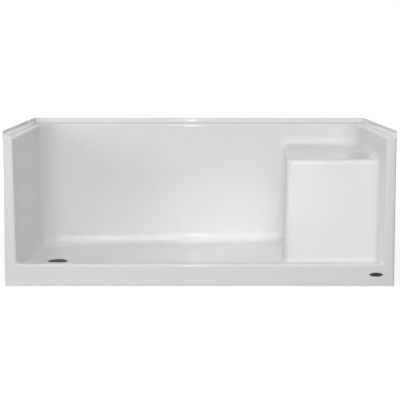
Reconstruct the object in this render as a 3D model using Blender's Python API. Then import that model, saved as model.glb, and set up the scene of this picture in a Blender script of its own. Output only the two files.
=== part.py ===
"""Moulded shower base with low walls, a bench seat and an outlet at the left.

One thin laminated moulding makes the floor, the step over, three walls, the
ledge with its upright tiling flange and the seat. Timber behind and under it
stiffens the walls, carries the seat and beds the floor. The outlet fitting is
clamped through the floor, and its strainer lifts out.

Metres, +Z up. X runs along the length, the open front faces -Y, and the origin
is on the ground under the middle of the base.
"""

import math

import bmesh
import bpy
import numpy as np
from mathutils import Matrix

# Overall size
BASE_LENGTH = 1.524
BASE_DEPTH = 0.762
BASE_HEIGHT = 0.610

# Moulded skin, walls, ledge and flange
SKIN = 0.005
LEDGE_WIDTH = 0.040
LEDGE_EDGE_RADIUS = 0.013
LEDGE_FRONT_RADIUS = 0.0055
FLANGE_HEIGHT = 0.022
FLANGE_FILLET = 0.012
WALL_CORNER_RADIUS = 0.115
WALL_DRAFT = math.radians(0.8)
WALL_FOOT_FILLET = 0.044
WALL_SEAT_FILLET = 0.035
FRONT_CORNER_FILLET = 0.012
FRONT_CORNER_RUN = 0.100

# Front posts and step over
POST_RETURN_DEPTH = 0.040
POST_OUTER_RADIUS = 0.012
OPENING_RADIUS = 0.010
STEP_HEIGHT = 0.088
STEP_DEPTH = 0.052
STEP_REAR_RADIUS = 0.015
STEP_REAR_SLOPE = math.radians(10)

# Floor, which falls to a level land round the outlet
FLOOR_HEIGHT = 0.020
FLOOR_FALL_SHARE = 0.024
FLOOR_FILLET = 0.045
OUTLET_SIDE_GAP = 0.003
OUTLET_FROM_FRONT = 0.355
OUTLET_LAND = 0.062
OUTLET_HOLE_DIAMETER = 0.0826

# Bench seat at the right
SEAT_LENGTH = 0.414
WALL_OVER_SEAT = 0.104
SEAT_SETBACK = 0.136
SEAT_EDGE_RADIUS = 0.024
SEAT_CORNER_RADIUS = 0.035
SEAT_DRAFT = math.radians(1)
SEAT_SKEW = math.radians(5.2)
SEAT_SKEW_REACH = 0.200

# Timber behind and under the moulding
RAIL_HEIGHT = 0.060
BATTEN_WIDTH = 0.060
BACK_BATTEN_PLACE_SHARES = (-0.37, -0.125, 0.12, 0.36)
SIDE_BATTEN_PLACE_SHARES = (-0.25, 0.2)
SEAT_BOARD_THICKNESS = 0.015
SEAT_BOARD_MARGIN = 0.004
SEAT_LEG_SIZE = 0.038
SEAT_RAIL_THICKNESS = 0.018
SEAT_RAIL_HEIGHT = 0.070
FLOOR_BOARD_THICKNESS = 0.009
FLOOR_BOARD_MARGIN = 0.015
FLOOR_RUNNER_WIDTH = 0.045
FLOOR_RUNNER_PLACE_SHARES = (0.1, 0.5, 0.9)
OUTLET_PAD_WIDTH = 0.090
OUTLET_PAD_LENGTH = 0.120

# Outlet fitting
FITTING_FLANGE_DIAMETER = 0.108
FITTING_FLANGE_THICKNESS = 0.0036
FITTING_FLANGE_EDGE = 0.0012
FITTING_SLACK = 0.0028
FITTING_WALL = 0.0040
FITTING_GROUND_CLEARANCE = 0.002
GASKET_DIAMETER = 0.100
GASKET_THICKNESS = 0.002
WASHER_THICKNESS = 0.001
LOCKNUT_DIAMETER = 0.098
LOCKNUT_THICKNESS = 0.0065
LOCKNUT_NOTCHES = 8
LOCKNUT_NOTCH_WIDTH = 0.009
LOCKNUT_NOTCH_DEPTH = 0.0045

# Strainer
STRAINER_DIAMETER = 0.0825
STRAINER_THICKNESS = 0.0016
STRAINER_SLOT_WIDTH = 0.0042
STRAINER_SLOT_COUNTS = (6, 12, 20)
STRAINER_SLOT_START_SHARES = (0.11, 0.40, 0.69)
STRAINER_SLOT_END_SHARES = (0.30, 0.595, 0.875)
STRAINER_CLIP_WIDTH = 0.010
STRAINER_CLIP_THICKNESS = 0.0012
STRAINER_CLIP_LENGTH = 0.009
STRAINER_CLIPS = 3

# Blank name plate low on the front
PLATE_LENGTH = 0.052
PLATE_HEIGHT = 0.016
PLATE_THICKNESS = 0.0014
PLATE_EDGE = 0.0005
PLATE_FROM_RIGHT = 0.073
PLATE_CENTRE_HEIGHT = 0.047

# Gaps, cut overruns and fineness
CLEARANCE = 0.0003
OVERRUN = 0.010
GRADIENT_STEP = 0.00001
CAGE_LEAST_SPACING = 0.0012
CAGE_WIDEST_SPACING = 0.250
SETTLE_REACH = 0.030
SETTLE_TURNS = 60
LEAST_SLOPE_SQUARE = 0.05
WIDE_FILLET_STEPS = 3
FILLET_STEPS = 2
EDGE_STEPS = 1
FLAT_ANGLE = math.radians(0.1)
SMOOTH_ANGLE = math.radians(40)
EDGE_ANGLE = math.radians(60)
ROUND_SIDES = 48
PLATE_SIDES = 28

# Places worked out from the sizes
END_X = BASE_LENGTH / 2
FRONT_Y = -BASE_DEPTH / 2
BACK_Y = BASE_DEPTH / 2
LEDGE_HEIGHT = BASE_HEIGHT - FLANGE_HEIGHT
SEAT_HEIGHT = LEDGE_HEIGHT - WALL_OVER_SEAT
WALL_X = END_X - LEDGE_WIDTH
WALL_Y = BACK_Y - LEDGE_WIDTH
RETURN_Y = FRONT_Y + POST_RETURN_DEPTH
STEP_REAR_Y = FRONT_Y + STEP_DEPTH
SEAT_X = END_X - SEAT_LENGTH
SEAT_Y = FRONT_Y + SEAT_SETBACK
WALL_LEAN = (LEDGE_HEIGHT - FLOOR_HEIGHT) * math.tan(WALL_DRAFT)
OUTLET_FROM_LEFT = LEDGE_WIDTH + WALL_LEAN + FLOOR_FILLET + OUTLET_LAND + OUTLET_SIDE_GAP
OUTLET_X = -END_X + OUTLET_FROM_LEFT
OUTLET_Y = FRONT_Y + OUTLET_FROM_FRONT
FLOOR_LEVEL = FLOOR_HEIGHT + FLOOR_FALL_SHARE * (BASE_LENGTH - OUTLET_FROM_LEFT) / 2
FITTING_BARREL_DIAMETER = OUTLET_HOLE_DIAMETER - 2 * FITTING_SLACK
FITTING_BORE_DIAMETER = FITTING_BARREL_DIAMETER - 2 * FITTING_WALL
UNDER_LEDGE = LEDGE_HEIGHT - SKIN - CLEARANCE
RAIL_BOTTOM = UNDER_LEDGE - RAIL_HEIGHT

# Kinds of face on the moulding: finished side, rough side, cut edge and post return
KINDS = ("finished", "underside", "rim", "return")


def clear_scene():
    """Remove whatever the file holds, so that only the base is in it."""
    for item in list(bpy.data.objects):
        bpy.data.objects.remove(item, do_unlink=True)


def material(name, colour, roughness, metallic=0.0):
    """A plain Principled material."""
    surface = bpy.data.materials.new(name)
    surface.use_nodes = True
    shader = surface.node_tree.nodes["Principled BSDF"]
    shader.inputs["Base Color"].default_value = (*colour, 1.0)
    shader.inputs["Roughness"].default_value = roughness
    shader.inputs["Metallic"].default_value = metallic
    surface.diffuse_color = (*colour, 1.0)
    return surface


def place(name, mesh, surface):
    """Link a mesh to the scene as one named object with one material."""
    mesh.materials.clear()
    mesh.materials.append(surface)
    item = bpy.data.objects.new(name, mesh)
    bpy.context.scene.collection.objects.link(item)
    return item


def mesh_from(name, shape):
    """Turn a bmesh with outward faces into a mesh."""
    bmesh.ops.recalc_face_normals(shape, faces=shape.faces)
    mesh = bpy.data.meshes.new(name)
    shape.to_mesh(mesh)
    shape.free()
    return mesh


def applied(item):
    """Replace an object's mesh with the result of its modifiers."""
    scene_state = bpy.context.evaluated_depsgraph_get()
    mesh = bpy.data.meshes.new_from_object(item.evaluated_get(scene_state))
    item.modifiers.clear()
    item.data = mesh


def cut(item, cutter):
    """Subtract one object from another and drop the cutter."""
    cutter.hide_render = True
    cutter.display_type = "WIRE"
    boolean = item.modifiers.new("cut", "BOOLEAN")
    boolean.operation = "DIFFERENCE"
    boolean.solver = "EXACT"
    boolean.object = cutter
    applied(item)
    bpy.data.objects.remove(cutter, do_unlink=True)


# Finished surface of the moulding

def round_both(first, second, radius):
    """Room that is clear of both faces, with a fillet where they meet."""
    inner = np.hypot(np.maximum(radius - first, 0), np.maximum(radius - second, 0))
    return np.maximum(radius, np.minimum(first, second)) - inner


def round_either(first, second, radius):
    """Room that is clear of either face, with their shared edge rounded."""
    outer = np.hypot(np.maximum(radius + first, 0), np.maximum(radius + second, 0))
    return np.minimum(-radius, np.maximum(first, second)) + outer


def sharp_both(first, second, radius):
    """Room that is clear of both faces, without a fillet."""
    return np.minimum(first, second)


def sharp_either(first, second, radius):
    """Room that is clear of either face, without a rounded edge."""
    return np.maximum(first, second)


def ramp(start, end, share):
    """A size that changes steadily from start to end as share goes from 0 to 1."""
    return start + (end - start) * np.clip(share, 0, 1)


def wall_lean(z):
    """How far a wall has come inwards at height z, because of its draft."""
    return (LEDGE_HEIGHT - z) * math.tan(WALL_DRAFT)


def seat_skew(y):
    """How far the seat's left side has turned away at depth y."""
    return (y - SEAT_Y) * math.tan(SEAT_SKEW)


def floor_top(x, y):
    """Height of the floor, which is level round the outlet and rises away from it."""
    along = np.maximum(np.abs(x - OUTLET_X) - OUTLET_LAND, 0)
    across = np.maximum(np.abs(y - OUTLET_Y) - OUTLET_LAND, 0)
    return FLOOR_HEIGHT + FLOOR_FALL_SHARE * np.hypot(along, across)


def face_room(points, sharp=False):
    """Signed distance from the moulding's finished side, above zero in the open."""
    x, y, z = points
    both = sharp_both if sharp else round_both
    either = sharp_either if sharp else round_either
    draft = 0 if sharp else 1
    seat_lean = (SEAT_HEIGHT - z) * math.tan(SEAT_DRAFT) * draft
    step_lean = (STEP_HEIGHT - z) * math.tan(STEP_REAR_SLOPE) * draft
    over_floor = z - (FLOOR_LEVEL if sharp else floor_top(x, y))
    behind_step = (y - STEP_REAR_Y - step_lean) * math.cos(STEP_REAR_SLOPE)
    step = either(z - STEP_HEIGHT, behind_step, STEP_REAR_RADIUS)
    skewed = SEAT_X + seat_skew(y) * draft
    beside_seat = (skewed - seat_lean - x) * math.cos(SEAT_SKEW)
    before_seat = SEAT_Y - seat_lean - y
    round_seat = either(beside_seat, before_seat, SEAT_CORNER_RADIUS)
    seat = either(z - SEAT_HEIGHT, round_seat, SEAT_EDGE_RADIUS)
    low = both(both(over_floor, step, FLOOR_FILLET), seat, FLOOR_FILLET)
    lean = wall_lean(z) * draft
    walls = both(WALL_X - lean - np.abs(x), WALL_Y - lean - y, WALL_CORNER_RADIUS)
    climb = (z - STEP_HEIGHT) / (SEAT_HEIGHT - STEP_HEIGHT)
    wide = ramp(WALL_FOOT_FILLET, WALL_SEAT_FILLET, climb)
    from_front = (y - SEAT_Y) / FRONT_CORNER_RUN
    well = both(low, walls, ramp(FRONT_CORNER_FILLET, wide, from_front))
    ledge = either(well, z - LEDGE_HEIGHT, LEDGE_EDGE_RADIUS)
    flange = both(END_X - SKIN - np.abs(x), BACK_Y - SKIN - y, FLANGE_FILLET)
    tray = both(ledge, flange, FLANGE_FILLET)
    drop = (LEDGE_HEIGHT - LEDGE_FRONT_RADIUS - z) / LEDGE_EDGE_RADIUS
    return either(tray, FRONT_Y - y, ramp(LEDGE_FRONT_RADIUS, OPENING_RADIUS, drop))


def finished_room(points, sharp=False):
    """As face_room, with the posts' outer sides taken as finished too."""
    x, y, z = points
    either = sharp_either if sharp else round_either
    beside_post = np.minimum(np.abs(x) - END_X, RETURN_Y - y)
    radius = ramp(0, POST_OUTER_RADIUS, (LEDGE_HEIGHT - SKIN - z) / POST_OUTER_RADIUS)
    return either(face_room(points, sharp), beside_post, radius)


def underside_room(points, sharp=False):
    """Signed distance from the moulding's rough side, above zero behind it."""
    return -face_room(points, sharp) - SKIN


def return_room(points, sharp=False):
    """Signed distance from the posts' side returns, above zero behind them."""
    x, y, z = points
    return np.maximum(END_X - SKIN - np.abs(x), y - RETURN_Y)


# Mesh of the moulding

def fillet_lines(face, reach, steps):
    """Lines that cut a fillet into equal turns, from its face over its reach."""
    eighth = math.pi / 4
    return [face + reach * (1 - math.tan(eighth * step / steps)) for step in range(steps + 1)]


def spaced_lines(faces, fillets):
    """Every face's line, the fillet lines that are clear of them, and long gaps split."""
    kept = sorted(set(faces))
    for line in sorted(fillets):
        if all(abs(line - other) > CAGE_LEAST_SPACING for other in kept):
            kept.append(line)
    kept.sort()
    lines = kept[:1]
    for line in kept[1:]:
        start = lines[-1]
        count = max(1, math.ceil((line - start) / CAGE_WIDEST_SPACING))
        lines += [start + (line - start) * part / count for part in range(1, count + 1)]
    return np.array(lines)


def cage_lines():
    """The lines along X, Y and Z that divide the moulding's block into cells."""
    end_faces = [END_X + OVERRUN, END_X, END_X - SKIN, WALL_X + SKIN, WALL_X]
    x_faces = end_faces + [-face for face in end_faces] + [SEAT_X, SEAT_X + SKIN]
    x_faces += [OUTLET_X - OUTLET_LAND, OUTLET_X + OUTLET_LAND]
    end_fillets = (
        fillet_lines(END_X - SKIN, -FLANGE_FILLET, EDGE_STEPS)
        + fillet_lines(WALL_X, LEDGE_EDGE_RADIUS, FILLET_STEPS)
        + fillet_lines(WALL_X, -WALL_CORNER_RADIUS, WIDE_FILLET_STEPS)
        + fillet_lines(WALL_X, -WALL_FOOT_FILLET, FILLET_STEPS)
        + fillet_lines(WALL_X, -FRONT_CORNER_FILLET, FILLET_STEPS)
    )
    x_fillets = (
        end_fillets
        + [-line for line in end_fillets]
        + fillet_lines(SEAT_X, SEAT_CORNER_RADIUS, FILLET_STEPS)
        + fillet_lines(SEAT_X, SEAT_EDGE_RADIUS, FILLET_STEPS)
        + fillet_lines(SEAT_X, -FLOOR_FILLET, FILLET_STEPS)
    )
    y_faces = [FRONT_Y - OVERRUN, FRONT_Y, FRONT_Y + SKIN, RETURN_Y, STEP_REAR_Y - SKIN]
    y_faces += [STEP_REAR_Y, SEAT_Y, SEAT_Y + SKIN, WALL_Y, WALL_Y + SKIN]
    y_faces += [BACK_Y - SKIN, BACK_Y, BACK_Y + OVERRUN]
    y_faces += [OUTLET_Y - OUTLET_LAND, OUTLET_Y + OUTLET_LAND]
    y_fillets = (
        fillet_lines(FRONT_Y, OPENING_RADIUS, EDGE_STEPS)
        + fillet_lines(STEP_REAR_Y, -STEP_REAR_RADIUS, EDGE_STEPS)
        + fillet_lines(STEP_REAR_Y, FLOOR_FILLET, FILLET_STEPS)
        + fillet_lines(STEP_REAR_Y, FRONT_CORNER_FILLET, FILLET_STEPS)
        + fillet_lines(SEAT_Y, SEAT_CORNER_RADIUS, FILLET_STEPS)
        + fillet_lines(SEAT_Y, SEAT_EDGE_RADIUS, FILLET_STEPS)
        + fillet_lines(SEAT_Y, -FLOOR_FILLET, FILLET_STEPS)
        + fillet_lines(WALL_Y, LEDGE_EDGE_RADIUS, FILLET_STEPS)
        + fillet_lines(WALL_Y, -WALL_CORNER_RADIUS, WIDE_FILLET_STEPS)
        + fillet_lines(WALL_Y, -WALL_SEAT_FILLET, FILLET_STEPS)
        + fillet_lines(BACK_Y - SKIN, -FLANGE_FILLET, EDGE_STEPS)
    )
    z_faces = [-OVERRUN, 0, FLOOR_LEVEL - SKIN, FLOOR_LEVEL, STEP_HEIGHT - SKIN, STEP_HEIGHT]
    z_faces += [SEAT_HEIGHT - SKIN, SEAT_HEIGHT, LEDGE_HEIGHT - SKIN, LEDGE_HEIGHT]
    z_faces += [BASE_HEIGHT, BASE_HEIGHT + OVERRUN]
    z_fillets = (
        fillet_lines(FLOOR_LEVEL, FLOOR_FILLET, FILLET_STEPS)
        + fillet_lines(STEP_HEIGHT, -STEP_REAR_RADIUS, EDGE_STEPS)
        + fillet_lines(STEP_HEIGHT, -OPENING_RADIUS, EDGE_STEPS)
        + fillet_lines(STEP_HEIGHT, FRONT_CORNER_FILLET, FILLET_STEPS)
        + fillet_lines(SEAT_HEIGHT, -SEAT_EDGE_RADIUS, FILLET_STEPS)
        + fillet_lines(SEAT_HEIGHT, WALL_SEAT_FILLET, FILLET_STEPS)
        + fillet_lines(LEDGE_HEIGHT, -LEDGE_EDGE_RADIUS, FILLET_STEPS)
        + fillet_lines(LEDGE_HEIGHT, FLANGE_FILLET, EDGE_STEPS)
    )
    return (
        spaced_lines(x_faces, x_fillets),
        spaced_lines(y_faces, y_fillets),
        spaced_lines(z_faces, z_fillets),
    )


def cage_quads(lines):
    """Square-edged moulding: its points, its quads, and the points on each kind of face."""
    centres = np.meshgrid(*[(line[1:] + line[:-1]) / 2 for line in lines], indexing="ij")
    beyond = (centres[2] < 0) | (centres[2] > BASE_HEIGHT)
    behind = np.minimum(underside_room(centres, True), return_room(centres, True)) > 0
    solid = ~(finished_room(centres, True) > 0) & ~behind & ~beyond
    number_of = {}
    points = []
    quads = []
    touching = {kind: set() for kind in KINDS}
    for cell in np.argwhere(solid):
        for axis in range(3):
            for side in (0, 1):
                neighbour = cell.copy()
                neighbour[axis] += 2 * side - 1
                if solid[tuple(neighbour)]:
                    continue
                turn = [(0, 0), (1, 0), (1, 1), (0, 1)][:: 1 if side else -1]
                corners = []
                for first, second in turn:
                    corner = cell.copy()
                    corner[axis] += side
                    corner[(axis + 1) % 3] += first
                    corner[(axis + 2) % 3] += second
                    corners.append(tuple(corner))
                middle = [lines[n][[c[n] for c in corners]].mean() for n in range(3)]
                kind = "finished"
                if beyond[tuple(neighbour)]:
                    kind = "rim"
                elif behind[tuple(neighbour)]:
                    on_return = abs(return_room(middle, True)) < abs(underside_room(middle, True))
                    kind = "return" if on_return else "underside"
                quad = []
                for corner in corners:
                    if corner not in number_of:
                        number_of[corner] = len(points)
                        points.append([lines[n][corner[n]] for n in range(3)])
                    quad.append(number_of[corner])
                quads.append(quad)
                touching[kind].update(quad)
    return np.array(points).T, quads, {kind: sorted(found) for kind, found in touching.items()}


def rounded_square(points, across, centre, radius, fade, extra_fade=0):
    """Draw a square corner's lines in to round ones, in the plane of two axes."""
    first, second = across
    side = np.sign(points[first]) if first == 0 else 1
    u = side * points[first] - centre[0]
    v = centre[2] * (points[second] - centre[1])
    square = np.maximum(u, v)
    circle = np.maximum(np.hypot(u, v), GRADIENT_STEP)
    share = np.clip((square - radius - SKIN) / fade, 0, 1)
    share = np.maximum(share, extra_fade)
    factor = np.where((u > 0) & (v > 0), (square / circle) * (1 - share) + share, 1)
    points[first] = side * (centre[0] + u * factor)
    points[second] = centre[1] + centre[2] * v * factor


def draw_cage_in(points):
    """Bring the square cage near the drafted, falling, rounded surfaces."""
    past_step = np.clip((points[1] - STEP_REAR_Y) / FLOOR_FILLET, 0, 1)
    step_edge = STEP_HEIGHT - STEP_REAR_RADIUS - SKIN
    under_step = np.clip((step_edge - points[2]) / (step_edge - FLOOR_LEVEL), 0, 1)
    near_floor = np.clip((FLOOR_LEVEL + 3 * FLOOR_FILLET - points[2]) / (2 * FLOOR_FILLET), 0, 1)
    near_floor = under_step + (near_floor - under_step) * past_step
    off_ground = np.clip(points[2] / (FLOOR_LEVEL - SKIN), 0, 1)
    rise = floor_top(points[0], points[1]) - FLOOR_LEVEL
    points[2] += rise * near_floor * off_ground
    from_side = SEAT_SKEW_REACH - np.abs(points[0] - SEAT_X)
    by_seat = np.clip(from_side / (SEAT_SKEW_REACH - FLOOR_FILLET), 0, 1)
    points[0] += np.maximum(seat_skew(points[1]), 0) * by_seat
    fade = LEDGE_WIDTH - 2 * SKIN
    outer = np.clip((END_X - SKIN - np.abs(points[0])) / fade, 0, 1)
    outer *= np.abs(points[0]) > WALL_X - WALL_CORNER_RADIUS
    points[0] -= np.sign(points[0]) * np.maximum(wall_lean(points[2]), 0) * outer
    corner = FRONT_CORNER_FILLET
    end_centre = WALL_X - wall_lean(STEP_HEIGHT) - corner
    step_centre = (end_centre, STEP_HEIGHT + corner, -1)
    rounded_square(points, (0, 2), step_centre, corner, fade, past_step)
    foot_centre = (WALL_X - corner, STEP_REAR_Y + corner, -1)
    over_foot = 1 - under_step
    rounded_square(points, (0, 1), foot_centre, corner, fade, over_foot)
    wall_centre = (WALL_X - WALL_CORNER_RADIUS, WALL_Y - WALL_CORNER_RADIUS, 1)
    rounded_square(points, (0, 1), wall_centre, WALL_CORNER_RADIUS, fade)


def settle(points, room, chosen):
    """Move the chosen points one step towards where a room's distance is zero."""
    here = points[:, chosen]
    distance = room(here)
    gradient = np.empty_like(here)
    for axis in range(3):
        beside = here.copy()
        beside[axis] += GRADIENT_STEP
        gradient[axis] = (room(beside) - distance) / GRADIENT_STEP
    move = distance / np.maximum((gradient ** 2).sum(axis=0), LEAST_SLOPE_SQUARE)
    points[:, chosen] = here - np.clip(move, -SETTLE_REACH, SETTLE_REACH) * gradient


def disc(name, diameter, height, surface):
    """A round disc that stands on its own origin."""
    shape = bmesh.new()
    bmesh.ops.create_cone(
        shape,
        cap_ends=True,
        segments=ROUND_SIDES,
        radius1=diameter / 2,
        radius2=diameter / 2,
        depth=height,
        matrix=Matrix.Translation((0, 0, height / 2)),
    )
    return place(name, mesh_from(name, shape), surface)


def drop_flat_edges(mesh):
    """Leave out the edges between faces that lie in one plane."""
    shape = bmesh.new()
    shape.from_mesh(mesh)
    bmesh.ops.dissolve_limit(
        shape, angle_limit=FLAT_ANGLE, verts=shape.verts, edges=shape.edges
    )
    shape.to_mesh(mesh)
    shape.free()


def moulded_shell(surface):
    """The whole moulding: a square-edged cage settled on its rounded surfaces."""
    points, quads, touching = cage_quads(cage_lines())
    rim_height = points[2, touching["rim"]]
    draw_cage_in(points)
    rooms = {"finished": finished_room, "underside": underside_room, "return": return_room}
    for turn in range(SETTLE_TURNS):
        for kind, room in rooms.items():
            settle(points, room, touching[kind])
        points[2, touching["rim"]] = rim_height
    shape = bmesh.new()
    corners = [shape.verts.new(point) for point in points.T]
    for quad in quads:
        shape.faces.new([corners[number] for number in quad])
    bmesh.ops.remove_doubles(shape, verts=shape.verts, dist=CLEARANCE)
    shell = place("moulded_shell", mesh_from("moulded_shell", shape), surface)
    hole = disc("outlet_hole", OUTLET_HOLE_DIAMETER, FLOOR_HEIGHT + OVERRUN, surface)
    hole.location = (OUTLET_X, OUTLET_Y, 0)
    cut(shell, hole)
    drop_flat_edges(shell.data)
    shell.data.shade_smooth()
    shell.data.set_sharp_from_angle(angle=SMOOTH_ANGLE)
    return shell


# Timber

def eased_rectangle(low, high, eases=(0, 0, 0, 0)):
    """Outline of a rectangle whose corners are cut back, turning from its low corner."""
    corners = ((low[0], low[1]), (high[0], low[1]), (high[0], high[1]), (low[0], high[1]))
    ways = ((1, 1), (-1, 1), (-1, -1), (1, -1))
    outline = []
    for number, ((u, v), (right, up), ease) in enumerate(zip(corners, ways, eases)):
        if ease <= 0:
            outline.append((u, v))
            continue
        pair = [(u, v + up * ease), (u + right * ease, v)]
        outline += pair if number % 2 == 0 else pair[::-1]
    return outline


def bar(name, outline, axis, start, end, surface):
    """A straight bar: an outline in the other two axes, run along one axis."""
    shape = bmesh.new()
    rows = []
    for place_along in (start, end):
        row = []
        for first, second in outline:
            spot = {"x": (place_along, first, second), "y": (first, place_along, second)}
            spot["z"] = (first, second, place_along)
            row.append(shape.verts.new(spot[axis]))
        rows.append(row)
    shape.faces.new(rows[0])
    shape.faces.new(rows[1])
    count = len(outline)
    for number in range(count):
        after = (number + 1) % count
        shape.faces.new((rows[0][number], rows[0][after], rows[1][after], rows[1][number]))
    return place(name, mesh_from(name, shape), surface)


def rail_outline(wall_face, side):
    """Section of a rail that fills the corner under the ledge, behind a wall."""
    inner = wall_face + SKIN + CLEARANCE
    outer = wall_face + LEDGE_WIDTH - SKIN
    ease = LEDGE_EDGE_RADIUS - SKIN
    eased_height = UNDER_LEDGE - ease
    return [
        (side * (inner - wall_lean(RAIL_BOTTOM)), RAIL_BOTTOM),
        (side * outer, RAIL_BOTTOM),
        (side * outer, UNDER_LEDGE),
        (side * (inner + ease), UNDER_LEDGE),
        (side * (inner - wall_lean(eased_height)), eased_height),
    ]


def batten_outline(wall_face, side):
    """Section of a batten that stands on the ground behind a leaning wall."""
    inner = wall_face + SKIN + CLEARANCE
    outer = wall_face + LEDGE_WIDTH - SKIN
    top = RAIL_BOTTOM - CLEARANCE
    return [
        (side * (inner - wall_lean(0)), 0),
        (side * outer, 0),
        (side * outer, top),
        (side * (inner - wall_lean(top)), top),
    ]


def wall_timber(wood):
    """Rails under the ledge, and battens from the ground up to them."""
    rail_end = WALL_X - WALL_CORNER_RADIUS
    bar("ledge_rail_back", rail_outline(WALL_Y, 1), "x", -rail_end, rail_end, wood)
    for number, share in enumerate(BACK_BATTEN_PLACE_SHARES, 1):
        start = share * BASE_LENGTH - BATTEN_WIDTH / 2
        outline = batten_outline(WALL_Y, 1)
        bar(f"back_batten_{number}", outline, "x", start, start + BATTEN_WIDTH, wood)
    for side, end_name in ((-1, "left"), (1, "right")):
        outline = rail_outline(WALL_X, side)
        start = RETURN_Y + CLEARANCE
        rail_back = WALL_Y - WALL_CORNER_RADIUS
        bar(f"ledge_rail_{end_name}", outline, "y", start, rail_back, wood)
        outline = batten_outline(WALL_X, side)
        for number, share in enumerate(SIDE_BATTEN_PLACE_SHARES, 1):
            start = share * BASE_DEPTH - BATTEN_WIDTH / 2
            bar(f"{end_name}_batten_{number}", outline, "y", start, start + BATTEN_WIDTH, wood)


def front_timber(wood):
    """A block in each front post and a beam inside the step over."""
    inner_x = WALL_X + SKIN + CLEARANCE
    outer_x = END_X - SKIN - CLEARANCE
    front_y = FRONT_Y + SKIN + CLEARANCE
    eases = (POST_OUTER_RADIUS - SKIN, OPENING_RADIUS - SKIN, 0, 0)
    height = LEDGE_HEIGHT - LEDGE_EDGE_RADIUS
    left = eased_rectangle((-outer_x, front_y), (-inner_x, RETURN_Y), eases)
    right = [(-x, y) for x, y in left]
    bar("post_block_left", left, "z", 0, height, wood)
    bar("post_block_right", right, "z", 0, height, wood)
    high = (STEP_REAR_Y - SKIN - CLEARANCE, STEP_HEIGHT - SKIN - CLEARANCE)
    eases = (0, 0, STEP_REAR_RADIUS - SKIN, OPENING_RADIUS - SKIN)
    section = eased_rectangle((front_y, 0), high, eases)
    beam_end = inner_x - CLEARANCE
    bar("step_beam", section, "x", -beam_end, beam_end, wood)


def seat_timber(wood, plywood):
    """A board under the seat on four legs, with a rail between each two legs."""
    right = WALL_X + SKIN - wall_lean(0) - SEAT_BOARD_MARGIN
    front = SEAT_Y + SEAT_EDGE_RADIUS + SEAT_BOARD_MARGIN
    back = WALL_Y - WALL_SEAT_FILLET
    board_top = SEAT_HEIGHT - SKIN - CLEARANCE
    board_bottom = board_top - SEAT_BOARD_THICKNESS
    left = SEAT_X + SEAT_EDGE_RADIUS + SEAT_BOARD_MARGIN + seat_skew(front)
    rear_left = left + seat_skew(back) - seat_skew(front)
    outline = [(left, front), (right, front), (right, back), (rear_left, back)]
    bar("seat_board", outline, "z", board_bottom, board_top, plywood)
    leg_top = board_bottom - CLEARANCE
    size = SEAT_LEG_SIZE
    rows = ((front, left, "front"), (back - size, rear_left, "rear"))
    rail_low = leg_top - SEAT_RAIL_HEIGHT
    gap = size + CLEARANCE
    for y, leg_left, row in rows:
        for x, column in ((leg_left, "left"), (right - size, "right")):
            outline = eased_rectangle((x, y), (x + size, y + size))
            bar(f"seat_leg_{row}_{column}", outline, "z", 0, leg_top, wood)
        section = eased_rectangle((y, rail_low), (y + SEAT_RAIL_THICKNESS, leg_top))
        bar(f"seat_rail_{row}", section, "x", leg_left + gap, right - gap, wood)
    start, end = front + gap, back - gap
    for near, far, column in ((left, rear_left, "left"), (right - size, right - size, "right")):
        outline = [
            (near, start),
            (near + SEAT_RAIL_THICKNESS, start),
            (far + SEAT_RAIL_THICKNESS, end),
            (far, end),
        ]
        bar(f"seat_rail_{column}", outline, "z", rail_low, leg_top, wood)


def floor_timber(wood, plywood):
    """A board under the floor on wedge runners, and wedge pads beside the outlet."""
    left = OUTLET_X + OUTLET_LAND + FLOOR_BOARD_MARGIN
    right = SEAT_X - FLOOR_FILLET
    front = STEP_REAR_Y + FLOOR_FILLET
    back = WALL_Y - FLOOR_FILLET

    def board_top(x):
        rise = FLOOR_FALL_SHARE * (x - OUTLET_X - OUTLET_LAND)
        return FLOOR_HEIGHT + rise - SKIN - CLEARANCE

    def board_bottom(x):
        return board_top(x) - FLOOR_BOARD_THICKNESS

    section = [
        (left, board_bottom(left)),
        (right, board_bottom(right)),
        (right, board_top(right)),
        (left, board_top(left)),
    ]
    bar("floor_board", section, "y", front, back, plywood)
    wedge = [
        (left, 0),
        (right, 0),
        (right, board_bottom(right) - CLEARANCE),
        (left, board_bottom(left) - CLEARANCE),
    ]
    room = back - front - FLOOR_RUNNER_WIDTH
    names = ("front", "middle", "rear")
    for name, share in zip(names, FLOOR_RUNNER_PLACE_SHARES):
        start = front + share * room
        bar(f"floor_runner_{name}", wedge, "y", start, start + FLOOR_RUNNER_WIDTH, wood)
    for side, name in ((-1, "front"), (1, "rear")):
        near = FLOOR_BOARD_MARGIN + OUTLET_LAND
        far = near + OUTLET_PAD_LENGTH
        under = FLOOR_HEIGHT - SKIN - CLEARANCE
        section = [
            (OUTLET_Y + side * near, 0),
            (OUTLET_Y + side * far, 0),
            (OUTLET_Y + side * far, under + FLOOR_FALL_SHARE * (far - OUTLET_LAND)),
            (OUTLET_Y + side * near, under + FLOOR_FALL_SHARE * (near - OUTLET_LAND)),
        ]
        half = OUTLET_PAD_WIDTH / 2
        bar(f"outlet_pad_{name}", section, "x", OUTLET_X - half, OUTLET_X + half, wood)


# Outlet fitting

def turned(name, profile, surface):
    """A ring turned round the outlet's axis from a closed profile of radius and height."""
    shape = bmesh.new()
    rings = []
    for number in range(ROUND_SIDES):
        angle = 2 * math.pi * number / ROUND_SIDES
        ring = [
            shape.verts.new((radius * math.cos(angle), radius * math.sin(angle), height))
            for radius, height in profile
        ]
        rings.append(ring)
    count = len(profile)
    for number, ring in enumerate(rings):
        following = rings[(number + 1) % ROUND_SIDES]
        for point in range(count):
            after = (point + 1) % count
            shape.faces.new((ring[point], ring[after], following[after], following[point]))
    item = place(name, mesh_from(name, shape), surface)
    item.location = (OUTLET_X, OUTLET_Y, 0)
    item.data.shade_smooth()
    item.data.set_sharp_from_angle(angle=SMOOTH_ANGLE)
    return item


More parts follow.
